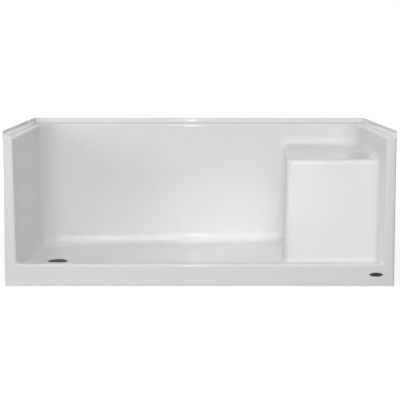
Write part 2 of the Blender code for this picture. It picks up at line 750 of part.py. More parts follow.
def ring_profile(inner, outer, bottom, top):
    """Profile of a flat ring."""
    return [(inner, bottom), (outer, bottom), (outer, top), (inner, top)]


def outlet_fitting(plastic, rubber, fibre):
    """Flanged barrel through the floor, clamped from below by a nut."""
    flange_bottom = FLOOR_HEIGHT + CLEARANCE
    flange_top = flange_bottom + FITTING_FLANGE_THICKNESS
    recess = flange_top - STRAINER_THICKNESS - CLEARANCE
    recess_radius = STRAINER_DIAMETER / 2 + CLEARANCE
    barrel = FITTING_BARREL_DIAMETER / 2
    bore = FITTING_BORE_DIAMETER / 2
    flange = FITTING_FLANGE_DIAMETER / 2
    profile = [
        (bore, FITTING_GROUND_CLEARANCE),
        (barrel, FITTING_GROUND_CLEARANCE),
        (barrel, flange_bottom),
        (flange, flange_bottom),
        (flange, flange_bottom + FITTING_FLANGE_EDGE),
        (recess_radius + FITTING_FLANGE_EDGE, flange_top),
        (recess_radius, flange_top),
        (recess_radius, recess),
        (bore, recess),
    ]
    turned("outlet_body", profile, plastic)
    inner = barrel + CLEARANCE
    top = FLOOR_HEIGHT - SKIN - CLEARANCE
    bottom = top - GASKET_THICKNESS
    turned("outlet_gasket", ring_profile(inner, GASKET_DIAMETER / 2, bottom, top), rubber)
    top = bottom - CLEARANCE
    bottom = top - WASHER_THICKNESS
    turned("friction_washer", ring_profile(inner, GASKET_DIAMETER / 2, bottom, top), fibre)
    top = bottom - CLEARANCE
    bottom = top - LOCKNUT_THICKNESS
    nut = turned("outlet_locknut", ring_profile(inner, LOCKNUT_DIAMETER / 2, bottom, top), plastic)
    low = (LOCKNUT_DIAMETER / 2 - LOCKNUT_NOTCH_DEPTH, -LOCKNUT_NOTCH_WIDTH / 2)
    high = (LOCKNUT_DIAMETER / 2 + OVERRUN, LOCKNUT_NOTCH_WIDTH / 2)
    for number in range(LOCKNUT_NOTCHES):
        outline = eased_rectangle(low, high)
        notch = bar("notch", outline, "z", bottom - OVERRUN, top + OVERRUN, fibre)
        notch.location = (OUTLET_X, OUTLET_Y, 0)
        notch.rotation_euler = (0, 0, 2 * math.pi * number / LOCKNUT_NOTCHES)
        cut(nut, notch)
    return recess


def slot_outline(start, end, width):
    """Outline of a radial slot with pointed ends, along X."""
    half = width / 2
    return [(start, 0), (start + half, -half), (end - half, -half),
            (end, 0), (end - half, half), (start + half, half)]


def strainer(recess, surface):
    """Slotted round strainer with spring clips; its origin is on the lifting axis."""
    bottom = recess + CLEARANCE
    top = bottom + STRAINER_THICKNESS
    plate = disc("outlet_strainer", STRAINER_DIAMETER, STRAINER_THICKNESS, surface)
    plate.location = (OUTLET_X, OUTLET_Y, bottom)
    radius = STRAINER_DIAMETER / 2
    rings = zip(STRAINER_SLOT_COUNTS, STRAINER_SLOT_START_SHARES, STRAINER_SLOT_END_SHARES)
    for count, start_share, end_share in rings:
        outline = slot_outline(start_share * radius, end_share * radius, STRAINER_SLOT_WIDTH)
        for number in range(count):
            slot = bar("slot", outline, "z", bottom - OVERRUN, top + OVERRUN, surface)
            slot.location = (OUTLET_X, OUTLET_Y, 0)
            slot.rotation_euler = (0, 0, 2 * math.pi * (number + 0.5) / count)
            cut(plate, slot)
    bore = FITTING_BORE_DIAMETER / 2 * math.cos(math.pi / ROUND_SIDES) - CLEARANCE
    outer = math.sqrt(bore ** 2 - (STRAINER_CLIP_WIDTH / 2) ** 2)
    for number in range(STRAINER_CLIPS):
        low = (outer - STRAINER_CLIP_THICKNESS, -STRAINER_CLIP_WIDTH / 2)
        outline = eased_rectangle(low, (outer, STRAINER_CLIP_WIDTH / 2))
        inside = bottom + STRAINER_THICKNESS / 2
        clip = bar("clip", outline, "z", inside - STRAINER_CLIP_LENGTH, inside, surface)
        clip.location = (OUTLET_X, OUTLET_Y, 0)
        clip.rotation_euler = (0, 0, 2 * math.pi * number / STRAINER_CLIPS)
        join(plate, clip)
    plate.data.shade_smooth()
    plate.data.set_sharp_from_angle(angle=SMOOTH_ANGLE)
    return plate


def join(item, other):
    """Fuse another object into this one and drop it."""
    other.hide_render = True
    other.display_type = "WIRE"
    boolean = item.modifiers.new("join", "BOOLEAN")
    boolean.operation = "UNION"
    boolean.solver = "EXACT"
    boolean.object = other
    applied(item)
    bpy.data.objects.remove(other, do_unlink=True)


# Name plate

def name_plate(surface):
    """A small blank oval plate, on the front at the right."""
    centre_x = END_X - PLATE_FROM_RIGHT
    turns = [2 * math.pi * number / PLATE_SIDES for number in range(PLATE_SIDES)]
    back = FRONT_Y - CLEARANCE
    front = back - PLATE_THICKNESS
    spots = [
        (
            centre_x + PLATE_LENGTH / 2 * math.cos(turn),
            PLATE_CENTRE_HEIGHT + PLATE_HEIGHT / 2 * math.sin(turn),
        )
        for turn in turns
    ]
    plate = bar("name_plate", spots, "y", front, back, surface)
    bevel = plate.modifiers.new("edge", "BEVEL")
    bevel.width = PLATE_EDGE
    bevel.segments = 1
    bevel.limit_method = "ANGLE"
    bevel.angle_limit = EDGE_ANGLE
    return plate


def build():
    """Make every piece of the base."""
    clear_scene()
    gelcoat = material("white_gelcoat", (0.83, 0.83, 0.82), 0.12)
    wood = material("sawn_softwood", (0.58, 0.42, 0.25), 0.75)
    plywood = material("plywood", (0.55, 0.41, 0.26), 0.7)
    plastic = material("white_plastic", (0.80, 0.80, 0.79), 0.3)
    rubber = material("black_rubber", (0.03, 0.03, 0.03), 0.8)
    fibre = material("fibre_card", (0.40, 0.27, 0.17), 0.85)
    dark = material("dark_strainer", (0.012, 0.012, 0.013), 0.55)
    badge = material("dark_plate", (0.02, 0.02, 0.022), 0.35)
    moulded_shell(gelcoat)
    wall_timber(wood)
    front_timber(wood)
    seat_timber(wood, plywood)
    floor_timber(wood, plywood)
    recess = outlet_fitting(plastic, rubber, fibre)
    strainer(recess, dark)
    name_plate(badge)


build()
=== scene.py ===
"""Moulded shower base with a bench seat, its timber, its outlet fitting and a studio."""
import itertools
import math
import random

import bmesh
import bpy
import numpy as np
from mathutils import Matrix, Vector


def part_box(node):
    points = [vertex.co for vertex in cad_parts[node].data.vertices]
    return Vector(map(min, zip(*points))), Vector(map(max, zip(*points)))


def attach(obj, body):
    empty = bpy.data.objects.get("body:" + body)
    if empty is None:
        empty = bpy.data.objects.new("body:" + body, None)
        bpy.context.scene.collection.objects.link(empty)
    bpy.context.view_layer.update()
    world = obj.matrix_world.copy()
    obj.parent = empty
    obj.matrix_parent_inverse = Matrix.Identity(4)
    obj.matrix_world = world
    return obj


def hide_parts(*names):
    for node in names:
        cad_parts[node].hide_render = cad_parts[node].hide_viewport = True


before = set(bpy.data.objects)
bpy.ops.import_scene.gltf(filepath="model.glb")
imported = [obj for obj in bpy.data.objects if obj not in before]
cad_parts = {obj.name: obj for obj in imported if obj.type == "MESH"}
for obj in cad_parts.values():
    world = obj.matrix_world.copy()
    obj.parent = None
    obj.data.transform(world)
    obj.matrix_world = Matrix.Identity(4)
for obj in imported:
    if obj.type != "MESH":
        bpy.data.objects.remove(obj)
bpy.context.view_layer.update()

bl_info = {
    "name": "Shower Base Maker",
    "version": (1, 0, 0),
    "blender": (4, 5, 0),
    "location": "3D View > Sidebar > Shower Base",
    "description": "Builds a moulded shower base on its CAD frame",
    "category": "Object",
}

# Timber nodes, with the axis that each one's grain follows
SOFTWOOD = {
    "ledge_rail_back": 0, "ledge_rail_left": 1, "ledge_rail_right": 1,
    "back_batten_1": 2, "back_batten_2": 2, "back_batten_3": 2, "back_batten_4": 2,
    "left_batten_1": 2, "left_batten_2": 2, "right_batten_1": 2, "right_batten_2": 2,
    "post_block_left": 2, "post_block_right": 2, "step_beam": 0,
    "seat_leg_front_left": 2, "seat_leg_front_right": 2,
    "seat_leg_rear_left": 2, "seat_leg_rear_right": 2,
    "seat_rail_front": 0, "seat_rail_rear": 0, "seat_rail_left": 1, "seat_rail_right": 1,
    "floor_runner_front": 0, "floor_runner_middle": 0, "floor_runner_rear": 0,
    "outlet_pad_front": 0, "outlet_pad_rear": 0,
}
PLYWOOD = {"seat_board": 0, "floor_board": 0}

# Sides of the moulding's skin, with the material slot that each one shows
SKIN_SLOTS = {"finished": 0, "underside": 1, "rim": 1, "return": 1}

# Turns that lay the laminate's glass strands every way, and their pattern's scale per axis
STRAND_TURNS = ((0.72, 0.56, 1.57), (1.08, 1.87, 1.57),
                (-0.50, 1.21, 1.57), (-0.81, 2.28, 1.57))
STRAND_SCALE = (200.0, 14.0, 200.0)


# ---------------------------------------------------------------- settings

def size_setting(name, description, default):
    """A length in metres."""
    return bpy.props.FloatProperty(
        name=name, description=description, default=default, unit="LENGTH")


def number_setting(name, description, default, **kind):
    """A plain number, such as a power in watts."""
    return bpy.props.FloatProperty(
        name=name, description=description, default=default, **kind)


def colour_setting(name, description, default):
    """A colour of three parts."""
    return bpy.props.FloatVectorProperty(
        name=name, description=description, default=default, subtype="COLOR", size=3)


def place_setting(name, description, default):
    """A place in metres."""
    return bpy.props.FloatVectorProperty(
        name=name, description=description, default=default, subtype="TRANSLATION",
        unit="LENGTH", size=3)


class BaseMouldingSettings(bpy.types.PropertyGroup):
    """Sizes and colours of the moulding."""

    length: size_setting("Length", "Outer length along X", 1.524)
    depth: size_setting("Depth", "Outer depth along Y", 0.762)
    height: size_setting("Height", "Height to the top of the tiling flange", 0.610)
    skin: size_setting("Skin", "Thickness of the laminate", 0.005)
    ledge_width: size_setting("Ledge Width", "Width of the ledge on the three walls", 0.040)
    flange_height: size_setting(
        "Flange Height", "Height of the tiling flange over the ledge", 0.022)
    step_height: size_setting("Step Height", "Height of the step over along the front", 0.088)
    seat_length: size_setting(
        "Seat Length", "Length of the seat from the base's right end", 0.414)
    wall_over_seat: size_setting("Wall over Seat", "Height of the ledge over the seat", 0.104)
    gelcoat: colour_setting("Gelcoat", "Colour of the finished side", (0.86, 0.86, 0.85))
    resin: colour_setting("Resin", "Colour of the rough side's resin", (0.50, 0.49, 0.40))


class BaseTimberSettings(bpy.types.PropertyGroup):
    """Edges and colours of the timber."""

    eased_edge: size_setting("Eased Edge", "Width of the softwood's eased edges", 0.0015)
    board_edge: size_setting("Board Edge", "Width of the plywood's eased edges", 0.0005)
    light_wood: colour_setting("Early Wood", "Colour between the rings", (0.66, 0.47, 0.27))
    dark_wood: colour_setting("Late Wood", "Colour of the rings", (0.42, 0.24, 0.11))


class BaseOutletSettings(bpy.types.PropertyGroup):
    """Sizes and colours of the outlet fitting, its strainer and the name plate."""

    centre: place_setting(
        "Centre", "Where the outlet's axis meets the ground", (-0.604, -0.026, 0.0))
    thread_pitch: size_setting(
        "Thread Pitch", "Rise of the barrel's thread in one turn", 0.0028)
    thread_depth: size_setting("Thread Depth", "Depth of the barrel's thread", 0.0008)
    plastic: colour_setting("Plastic", "Colour of the fitting and nut", (0.80, 0.80, 0.79))
    rubber: colour_setting("Rubber", "Colour of the gasket", (0.02, 0.02, 0.02))
    strainer_diameter: size_setting(
        "Strainer Diameter", "Diameter of the strainer's plate", 0.0825)
    slot_width: size_setting("Slot Width", "Width of the strainer's slots", 0.0042)
    # The strainer's near-black colour is painted shade: it stands in for the dark of the
    # outlet's hole
    dark: colour_setting("Strainer", "Colour of the strainer", (0.012, 0.012, 0.013))
    plate: colour_setting("Name Plate", "Colour of the blank plate", (0.016, 0.016, 0.020))


class BaseStudioSettings(bpy.types.PropertyGroup):
    """Camera and light of the studio, with the lamps' powers in watts."""

    camera_place: place_setting(
        "Camera Place", "Where the camera stands", (-0.0256, -4.1208, 0.9128))
    camera_pitch: number_setting(
        "Camera Pitch", "How far the camera looks down", math.radians(5.18), subtype="ANGLE")
    lens: number_setting("Lens", "Focal length in millimetres", 87.4)
    shift_x: number_setting("Shift X", "Sideways shift of the frame", 0.017)
    shift_y: number_setting("Shift Y", "Upward shift of the frame", -0.15)
    front: number_setting("Front", "Power of the wide lamp over the camera", 86.0)
    spark: number_setting("Spark", "Power of the thin upright lamp by the camera", 10.0)
    beam: number_setting("Beam", "Power of the narrow beam on the back wall", 0.27)
    rear: number_setting("Rear", "Power of the lamp behind the base", 20.0)
    side: number_setting("Side", "Power of the lamp at the left", 50.0)
    strip: number_setting("Strip", "Power of the long strip overhead", 19.0)
    sky: number_setting("Sky", "Strength of the light from all round", 0.23)


SETTINGS = {
    "base_moulding": BaseMouldingSettings,
    "base_timber": BaseTimberSettings,
    "base_outlet": BaseOutletSettings,
    "base_studio": BaseStudioSettings,
}


# ---------------------------------------------------------------- nodes

class Wire:
    """An output socket that takes part in sums, differences and products."""

    def __init__(self, tree, socket):
        self.tree = tree
        self.socket = socket

    def maths(self, operation, *others):
        """The result of a Math node on this value and others."""
        inputs = dict(enumerate((self, *others)))
        return add_node(self.tree, "ShaderNodeMath", inputs, operation=operation)

    def __add__(self, other):
        return self.maths("ADD", other)

    def __sub__(self, other):
        return self.maths("SUBTRACT", other)

    def __rsub__(self, other):
        return self.maths("MULTIPLY_ADD", -1.0, other)

    def __mul__(self, other):
        return self.maths("MULTIPLY", other)

    __radd__ = __add__
    __rmul__ = __mul__


def plug(tree, value, socket):
    """Link a wire to a socket, or set the socket to a plain value."""
    if isinstance(value, Wire):
        tree.links.new(value.socket, socket)
    elif socket.type == "RGBA":
        socket.default_value = (*tuple(value)[:3], 1.0)
    else:
        socket.default_value = value


def add_node(tree, kind, inputs=(), output=0, **settings):
    """Add a node, make its settings, feed its sockets, and give back one of its outputs."""
    node = tree.nodes.new(kind)
    for key, value in settings.items():
        setattr(node, key, value)
    for key, value in dict(inputs).items():
        for single in value if isinstance(value, list) else [value]:
            plug(tree, single, node.inputs[key])
    return Wire(tree, node.outputs[output]) if node.outputs else None


# ---------------------------------------------------------------- finishes

class Finish:
    """A material under construction, on object coordinates or along a timber's grain."""

    def __init__(self, name, grain=False):
        self.material = bpy.data.materials.new(name)
        self.material.use_nodes = True
        self.tree = self.material.node_tree
        self.shader = self.tree.nodes["Principled BSDF"]
        if grain:
            self.where = self.node("Attribute", output="Vector", attribute_name="grain")
        else:
            self.where = self.node("TexCoord", output="Object")

    def node(self, kind, inputs=(), output=0, **settings):
        """Add a shader node."""
        return add_node(self.tree, "ShaderNode" + kind, inputs, output, **settings)

    def stretched(self, scale, turn=None):
        """Coordinates turned, where a turn is given, and then stretched."""
        where = self.where
        if turn:
            where = self.node("Mapping", {"Vector": where, "Rotation": turn})
        return self.node("Mapping", {"Vector": where, "Scale": scale})

    def noise(self, scale, detail=2.0, roughness=0.5, distortion=0.0, turn=None):
        """Smooth noise from 0 to 1. Three scales stretch it, after a turn if one is given."""
        where = self.where
        if isinstance(scale, tuple):
            where, scale = self.stretched(scale, turn), 1.0
        inputs = {"Vector": where, "Scale": scale, "Detail": detail,
                  "Roughness": roughness, "Distortion": distortion}
        return self.node("TexNoise", inputs)

    def between(self, value, low, high, start=0.0, end=1.0):
        """A value from low to high taken to a value from start to end."""
        inputs = {"Value": value, "From Min": low, "From Max": high,
                  "To Min": start, "To Max": end}
        return self.node("MapRange", inputs)

    def mixed(self, share, first, second):
        """Two colours mixed by a share."""
        return self.node("Mix", {0: share, 6: first, 7: second}, 2, data_type="RGBA")

    def bump(self, height, distance, under=None):
        """A surface normal from a height, over another normal where one is given."""
        inputs = {"Height": height, "Distance": distance, "Strength": 1.0}
        if under:
            inputs["Normal"] = under
        return self.node("Bump", inputs)

    def made(self, colour, roughness, normal=None):
        """Feed the shader's sockets and give back the material."""
        inputs = {"Base Color": colour, "Roughness": roughness, "Normal": normal}
        for key, value in inputs.items():
            if value is not None:
                plug(self.tree, value, self.shader.inputs[key])
        return self.material


def scaled(colour, factor):
    """A colour made lighter or darker."""
    return tuple(min(channel * factor, 1.0) for channel in colour)


def gelcoat_finish(colour):
    """Glossy sprayed gelcoat: slow waves, a fine orange peel and a little dust."""
    finish = Finish("gelcoat")
    cloud = finish.between(finish.noise(2.2, 3.0), 0.35, 0.65)
    toned = finish.mixed(cloud, scaled(colour, 0.985), colour)
    dust = finish.between(finish.noise(900.0, 1.0), 0.70, 0.78) * 0.06
    smears = finish.noise((9.0, 9.0, 3.6), 4.0, 0.6)
    waves = finish.bump(finish.noise(14.0, 2.0, 0.4), 0.00006)
    peel = finish.bump(finish.noise(420.0), 0.000003, waves)
    finish.shader.inputs["IOR"].default_value = 1.50
    return finish.made(finish.mixed(dust, toned, scaled(colour, 0.7)),
                       finish.between(smears, 0.3, 0.7, 0.05, 0.08), peel)


def laminate_finish(colour):
    """Rough side of a glass laminate: chopped strands that lie every way, set in resin."""
    finish = Finish("laminate")
    strands = None
    for turn in STRAND_TURNS:
        lane = finish.between(finish.noise(STRAND_SCALE, 1.0, turn=turn), 0.52, 0.70)
        strands = strands.maths("MAXIMUM", lane) if strands else lane
    cloud = finish.between(finish.noise(7.0, 4.0, 0.6), 0.3, 0.7)
    resin = finish.mixed(cloud, scaled(colour, 0.82), scaled(colour, 1.12))
    drips = finish.noise((34.0, 34.0, 8.5), 3.0)
    return finish.made(finish.mixed(strands * 0.55, resin, scaled(colour, 1.45)),
                       finish.between(drips, 0.3, 0.7, 0.25, 0.55),
                       finish.bump(strands, 0.0005, finish.bump(drips, 0.0012)))


def softwood_finish(light, dark):
    """Sawn softwood: rings, fibres, knots and saw marks."""
    finish = Finish("softwood", grain=True)
    sway = finish.noise((1.6, 9.0, 9.0))
    rings = finish.noise((0.9, 26.0, 26.0), 1.0, 0.4, 1.2)
    late = finish.between((rings * 9.0 + sway * 3.0).maths("FRACT"), 0.55, 0.95)
    fibres = finish.noise((14.0, 700.0, 700.0), 2.0, 0.7)
    shine = finish.between(fibres, 0.3, 0.75) * 0.35
    toned = finish.mixed(shine, finish.mixed(late, light, dark), scaled(light, 1.2))
    cells = finish.node("TexVoronoi", {"Vector": finish.stretched((2.6, 9.0, 9.0)),
                                       "Scale": 1.0}, "Distance")
    knot = finish.between(cells, 0.14, 0.07)
    saw = finish.noise((260.0, 6.0, 6.0), 1.0)
    return finish.made(finish.mixed(knot, toned, scaled(dark, 0.45)),
                       finish.between(fibres, 0.2, 0.8, 0.62, 0.82),
                       finish.bump(fibres * 0.6 + saw * 0.4, 0.0004))


def plywood_finish(light, dark):
    """Plywood: a plain face veneer, with the plies showing on its edges."""
    finish = Finish("plywood", grain=True)
    figure = finish.noise((2.0, 22.0, 1.0), 2.0, 0.5, 1.4)
    bands = finish.between((figure * 7.0).maths("FRACT"), 0.4, 0.95)
    fibres = finish.noise((18.0, 800.0, 800.0), 2.0, 0.7)
    face = finish.mixed(bands * 0.6, scaled(light, 1.05), scaled(dark, 1.35))
    depth = finish.node("SeparateXYZ", {"Vector": finish.where}, 2)
    plies = (depth * 330.0).maths("FRACT")
    glue = finish.between(plies, 0.42, 0.5) * finish.between(plies, 0.98, 0.9)
    normal = finish.node("NewGeometry", output="True Normal")
    level = finish.node("SeparateXYZ", {"Vector": normal}, 2).maths("ABSOLUTE")
    edges = finish.mixed(glue, scaled(light, 0.95), scaled(dark, 0.8))
    veneer = finish.mixed(fibres * 0.25, face, light)
    return finish.made(finish.mixed(finish.between(level, 0.75, 0.5), veneer, edges),
                       finish.between(fibres, 0.2, 0.8, 0.55, 0.78),
                       finish.bump(fibres, 0.0002))


def moulded_finish(name, colour, roughness, texture=0.00002, scale=900.0):
    """Moulded plastic or rubber with faint flow marks and a fine tool texture."""
    finish = Finish(name)
    flow = finish.noise(38.0, 3.0, 0.6, 0.8)
    tone = finish.between(flow, 0.3, 0.7)
    return finish.made(finish.mixed(tone, scaled(colour, 0.96), scaled(colour, 1.03)),
                       finish.between(flow, 0.3, 0.7, *roughness),
                       finish.bump(finish.noise(scale), texture))


def card_finish():
    """Pressed fibre card."""
    finish = Finish("washer_card")
    fibres = finish.noise((500.0, 500.0, 900.0), 3.0, 0.7, 0.6)
    return finish.made(finish.mixed(fibres, (0.30, 0.19, 0.11), (0.52, 0.37, 0.24)),
                       finish.between(fibres, 0.2, 0.8, 0.75, 0.95),
                       finish.bump(fibres, 0.0002))


# ---------------------------------------------------------------- meshes

def new_object(name, mesh, *surfaces):
    """An object at the origin that shows a mesh."""
    item = bpy.data.objects.new(name, mesh)
    bpy.context.scene.collection.objects.link(item)
    for surface in surfaces:
        mesh.materials.append(surface)
    return item


def mesh_of(name, shape):
    """Turn a bmesh into a mesh with its faces outward."""
    bmesh.ops.recalc_face_normals(shape, faces=shape.faces)
    mesh = bpy.data.meshes.new(name)
    shape.to_mesh(mesh)
    shape.free()
    return mesh


def smoothed(mesh, degrees=35.0):
    """Smooth shading, with the edges over an angle kept sharp."""
    mesh.shade_smooth()
    mesh.set_sharp_from_angle(angle=math.radians(degrees))


def new_piece(name, shape, surface, degrees=35.0):
    """A smooth object at the origin, made from a bmesh."""
    item = new_object(name, mesh_of(name, shape), surface)
    smoothed(item.data, degrees)
    return item


def declared(item, node, body="base"):
    """Hide the CAD solid that a piece replaces, and hang the piece on the body that it rides
    on.
    """
    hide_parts(node)
    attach(item, body)


def made_plain(item):
    """Put an object's modifiers into its mesh."""
    bpy.context.view_layer.update()
    graph = bpy.context.evaluated_depsgraph_get()
    mesh = bpy.data.meshes.new_from_object(item.evaluated_get(graph))
    item.modifiers.clear()
    old = item.data
    item.data = mesh
    name = old.name
    bpy.data.meshes.remove(old)
    mesh.name = name


def flattened(shape, distance):
    """Merge a shape's doubles and make its flat faces whole."""
    bmesh.ops.remove_doubles(shape, verts=shape.verts, dist=distance)
    bmesh.ops.dissolve_limit(
        shape, angle_limit=math.radians(0.5), verts=shape.verts, edges=shape.edges)


def merged_solid(node):
    """A closed copy of a CAD solid, in place."""
    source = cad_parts[node]
    shape = bmesh.new()
    shape.from_mesh(source.data)
    shape.transform(source.matrix_world)
    flattened(shape, 0.00001)
    return shape


def ease_edges(shape, width, segments=2, angle=30.0):
    """Round the edges of a shape that turn by more than an angle."""
    limit = math.radians(angle)
    edges = [e for e in shape.edges if len(e.link_faces) == 2 and e.calc_face_angle() > limit]
    bmesh.ops.bevel(shape, geom=edges, offset=width, offset_type="OFFSET", segments=segments,
                    profile=0.5, affect="EDGES", clamp_overlap=True)


def moved_over(shape, centre):
    """Move a shape over a centre on the ground."""
    bmesh.ops.translate(shape, verts=shape.verts, vec=(centre[0], centre[1], 0))


def turns(sides):
    """The angles of equal steps round a circle."""
    return [2 * math.pi * step / sides for step in range(sides)]


def lofted(rings, capped):
    """A shape through rings of points, capped at its ends or closed on itself."""
    shape = bmesh.new()
    rows = [[shape.verts.new(point) for point in ring] for ring in rings]
    following = rows[1:] if capped else rows[1:] + rows[:1]
    for row, other in zip(rows, following):
        for here in range(len(row)):
            after = (here + 1) % len(row)
            shape.faces.new((row[here], row[after], other[after], other[here]))
    if capped:
        shape.faces.new(rows[0][::-1])
        shape.faces.new(rows[-1])
    return shape


def turned_shape(profile, sides, ripple=None):
    """A ring turned about Z from a closed profile of radii and heights."""
    rings = []
    for angle in turns(sides):
        ring = []
        for radius, height in profile:
            out = radius + (ripple(radius, height, angle) if ripple else 0)
            ring.append((out * math.cos(angle), out * math.sin(angle), height))
        rings.append(ring)
    return lofted(rings, capped=False)


# The most of a side's length that the rounding of one corner takes up
CORNER_SHARE = 0.45


def rounded_profile(corners, radius, open_ends=False, steps=4):
    """A profile with its corners rounded, without the first and the last where it is open."""
    profile = []
    for number, corner in enumerate(corners):
        here = Vector(corner)
        before = Vector(corners[number - 1]) - here
        after = Vector(corners[(number + 1) % len(corners)]) - here
        reach = min(radius, before.length * CORNER_SHARE, after.length * CORNER_SHARE)
        start = here + before.normalized() * reach
        end = here + after.normalized() * reach
        for step in range(steps + 1):
            near = start.lerp(here, step / steps)
            far = here.lerp(end, step / steps)
            profile.append(tuple(near.lerp(far, step / steps)))
    return profile[steps + 1:-steps - 1] if open_ends else profile


# ---------------------------------------------------------------- moulding

def round_both(first, second, radius):
    """Room that is clear of both faces, with a fillet where they meet."""
    inner = np.hypot(np.maximum(radius - first, 0), np.maximum(radius - second, 0))
    return np.maximum(radius, np.minimum(first, second)) - inner


def round_either(first, second, radius):
    """Room that is clear of either face, with their shared edge rounded."""
    outer = np.hypot(np.maximum(radius + first, 0), np.maximum(radius + second, 0))
    return np.minimum(-radius, np.maximum(first, second)) + outer


def sharp_both(first, second, radius):
    """Room that is clear of both faces, without a fillet."""
    return np.minimum(first, second)


def sharp_either(first, second, radius):
    """Room that is clear of either face, without a rounded edge."""
    return np.maximum(first, second)


def ramp(start, end, share):
    """A size that changes steadily from start to end as share goes from 0 to 1."""
    return start + (end - start) * np.clip(share, 0, 1)


def fillet_lines(*fillets):
    """Lines that cut fillets into equal turns, each given by its face, reach and steps."""
    return [face + reach * (1 - math.tan(math.pi / 4 * step / steps))
            for face, reach, steps in fillets for step in range(steps + 1)]


class MouldedForm:
    """The moulding's surfaces as distances, and a cage that settles on them."""

    # Fillets, drafts, depths and heights that the settings leave as they are
    ledge_edge = 0.013
    ledge_front = 0.0055
    flange_fillet = 0.012
    wall_corner = 0.115
    wall_draft = math.radians(0.8)
    foot_fillet = 0.044
    seat_fillet = 0.035
    corner_fillet = 0.012
    corner_run = 0.100
    return_depth = 0.040
    post_round = 0.012
    opening_round = 0.010
    step_depth = 0.052
    step_round = 0.015
    step_slope = math.radians(10)
    floor_height = 0.020
    floor_fall = 0.024
    floor_fillet = 0.045
    outlet_land = 0.062
    outlet_hole = 0.0826
    seat_setback = 0.136
    seat_edge = 0.024
    seat_corner = 0.035
    seat_draft = math.radians(1)
    seat_turn = math.radians(5.2)
    seat_turn_reach = 0.200
    # How the cage is spaced, how its points settle, and how the outlet's hole is cut
    overrun = 0.010
    least_spacing = 0.0010
    widest_spacing = 0.040
    nudge = 0.00001
    least_slope = 0.05
    longest_move = 0.030
    settle_turns = 40
    wide_steps = 10
    steps = 6
    edge_steps = 4
    hole_sides = 96
    hole_cut = 0.080

    def __init__(self, sizes, outlet):
        self.skin = sizes.skin
        self.height = sizes.height
        self.step_height = sizes.step_height
        self.end_x = sizes.length / 2
        self.front_y = -sizes.depth / 2
        self.back_y = sizes.depth / 2
        self.ledge_height = sizes.height - sizes.flange_height
        self.seat_height = self.ledge_height - sizes.wall_over_seat
        self.wall_x = self.end_x - sizes.ledge_width
        self.wall_y = self.back_y - sizes.ledge_width
        self.return_y = self.front_y + self.return_depth
        self.step_y = self.front_y + self.step_depth
        self.seat_x = self.end_x - sizes.seat_length
        self.seat_y = self.front_y + self.seat_setback
        self.outlet_x, self.outlet_y = outlet[0], outlet[1]
        run = self.end_x - self.outlet_x
        self.floor_level = self.floor_height + self.floor_fall * run / 2

    def wall_lean(self, z):
        """How far a wall has come inwards at a height."""
        return (self.ledge_height - z) * math.tan(self.wall_draft)

    def seat_skew(self, y):
        """How far the seat's left side has turned away at a depth."""
        return (y - self.seat_y) * math.tan(self.seat_turn)

    def floor_top(self, x, y):
        """Height of the floor, level round the outlet and rising away from it."""
        along = np.maximum(np.abs(x - self.outlet_x) - self.outlet_land, 0)
        across = np.maximum(np.abs(y - self.outlet_y) - self.outlet_land, 0)
        return self.floor_height + self.floor_fall * np.hypot(along, across)

    def face_room(self, points, sharp=False):
        """Signed distance from the finished side, above zero in the open."""
        x, y, z = points
        both = sharp_both if sharp else round_both
        either = sharp_either if sharp else round_either
        draft = 0 if sharp else 1
        seat_lean = (self.seat_height - z) * math.tan(self.seat_draft) * draft
        step_lean = (self.step_height - z) * math.tan(self.step_slope) * draft
        over_floor = z - (self.floor_level if sharp else self.floor_top(x, y))
        behind_step = (y - self.step_y - step_lean) * math.cos(self.step_slope)
        step = either(z - self.step_height, behind_step, self.step_round)
        skewed = self.seat_x + self.seat_skew(y) * draft
        beside_seat = (skewed - seat_lean - x) * math.cos(self.seat_turn)
        before_seat = self.seat_y - seat_lean - y
        round_seat = either(beside_seat, before_seat, self.seat_corner)
        seat = either(z - self.seat_height, round_seat, self.seat_edge)
        low = both(both(over_floor, step, self.floor_fillet), seat, self.floor_fillet)
        lean = self.wall_lean(z) * draft
        walls = both(self.wall_x - lean - np.abs(x), self.wall_y - lean - y, self.wall_corner)
        climb = (z - self.step_height) / (self.seat_height - self.step_height)
        wide = ramp(self.foot_fillet, self.seat_fillet, climb)
        from_front = (y - self.seat_y) / self.corner_run
        well = both(low, walls, ramp(self.corner_fillet, wide, from_front))
        ledge = either(well, z - self.ledge_height, self.ledge_edge)
        edge_x = self.end_x - self.skin
        edge_y = self.back_y - self.skin
        flange = both(edge_x - np.abs(x), edge_y - y, self.flange_fillet)
        tray = both(ledge, flange, self.flange_fillet)
        drop = (self.ledge_height - self.ledge_front - z) / self.ledge_edge
        rounding = ramp(self.ledge_front, self.opening_round, drop)
        return either(tray, self.front_y - y, rounding)

    def finished_room(self, points, sharp=False):
        """As face_room, with the posts' outer sides taken as finished too."""
        x, y, z = points
        either = sharp_either if sharp else round_either
        beside_post = np.minimum(np.abs(x) - self.end_x, self.return_y - y)
        share = (self.ledge_height - self.skin - z) / self.post_round
        rounding = ramp(0, self.post_round, share)
        return either(self.face_room(points, sharp), beside_post, rounding)

    def underside_room(self, points, sharp=False):
        """Signed distance from the rough side, above zero behind it."""
        return -self.face_room(points, sharp) - self.skin

    def return_room(self, points, sharp=False):
        """Signed distance from the posts' side returns, above zero behind them."""
        x, y, z = points
        return np.maximum(self.end_x - self.skin - np.abs(x), y - self.return_y)

    def spaced_lines(self, faces, fillets):
        """Faces' lines, the fillet lines clear of them, and long gaps split."""
        kept = sorted(set(faces))
        for line in sorted(fillets):
            if all(abs(line - other) > self.least_spacing for other in kept):
                kept.append(line)
        kept.sort()
        lines = kept[:1]
        for line in kept[1:]:
            start = lines[-1]
            count = max(1, math.ceil((line - start) / self.widest_spacing))
            lines += [start + (line - start) * part / count for part in range(1, count + 1)]
        return np.array(lines)

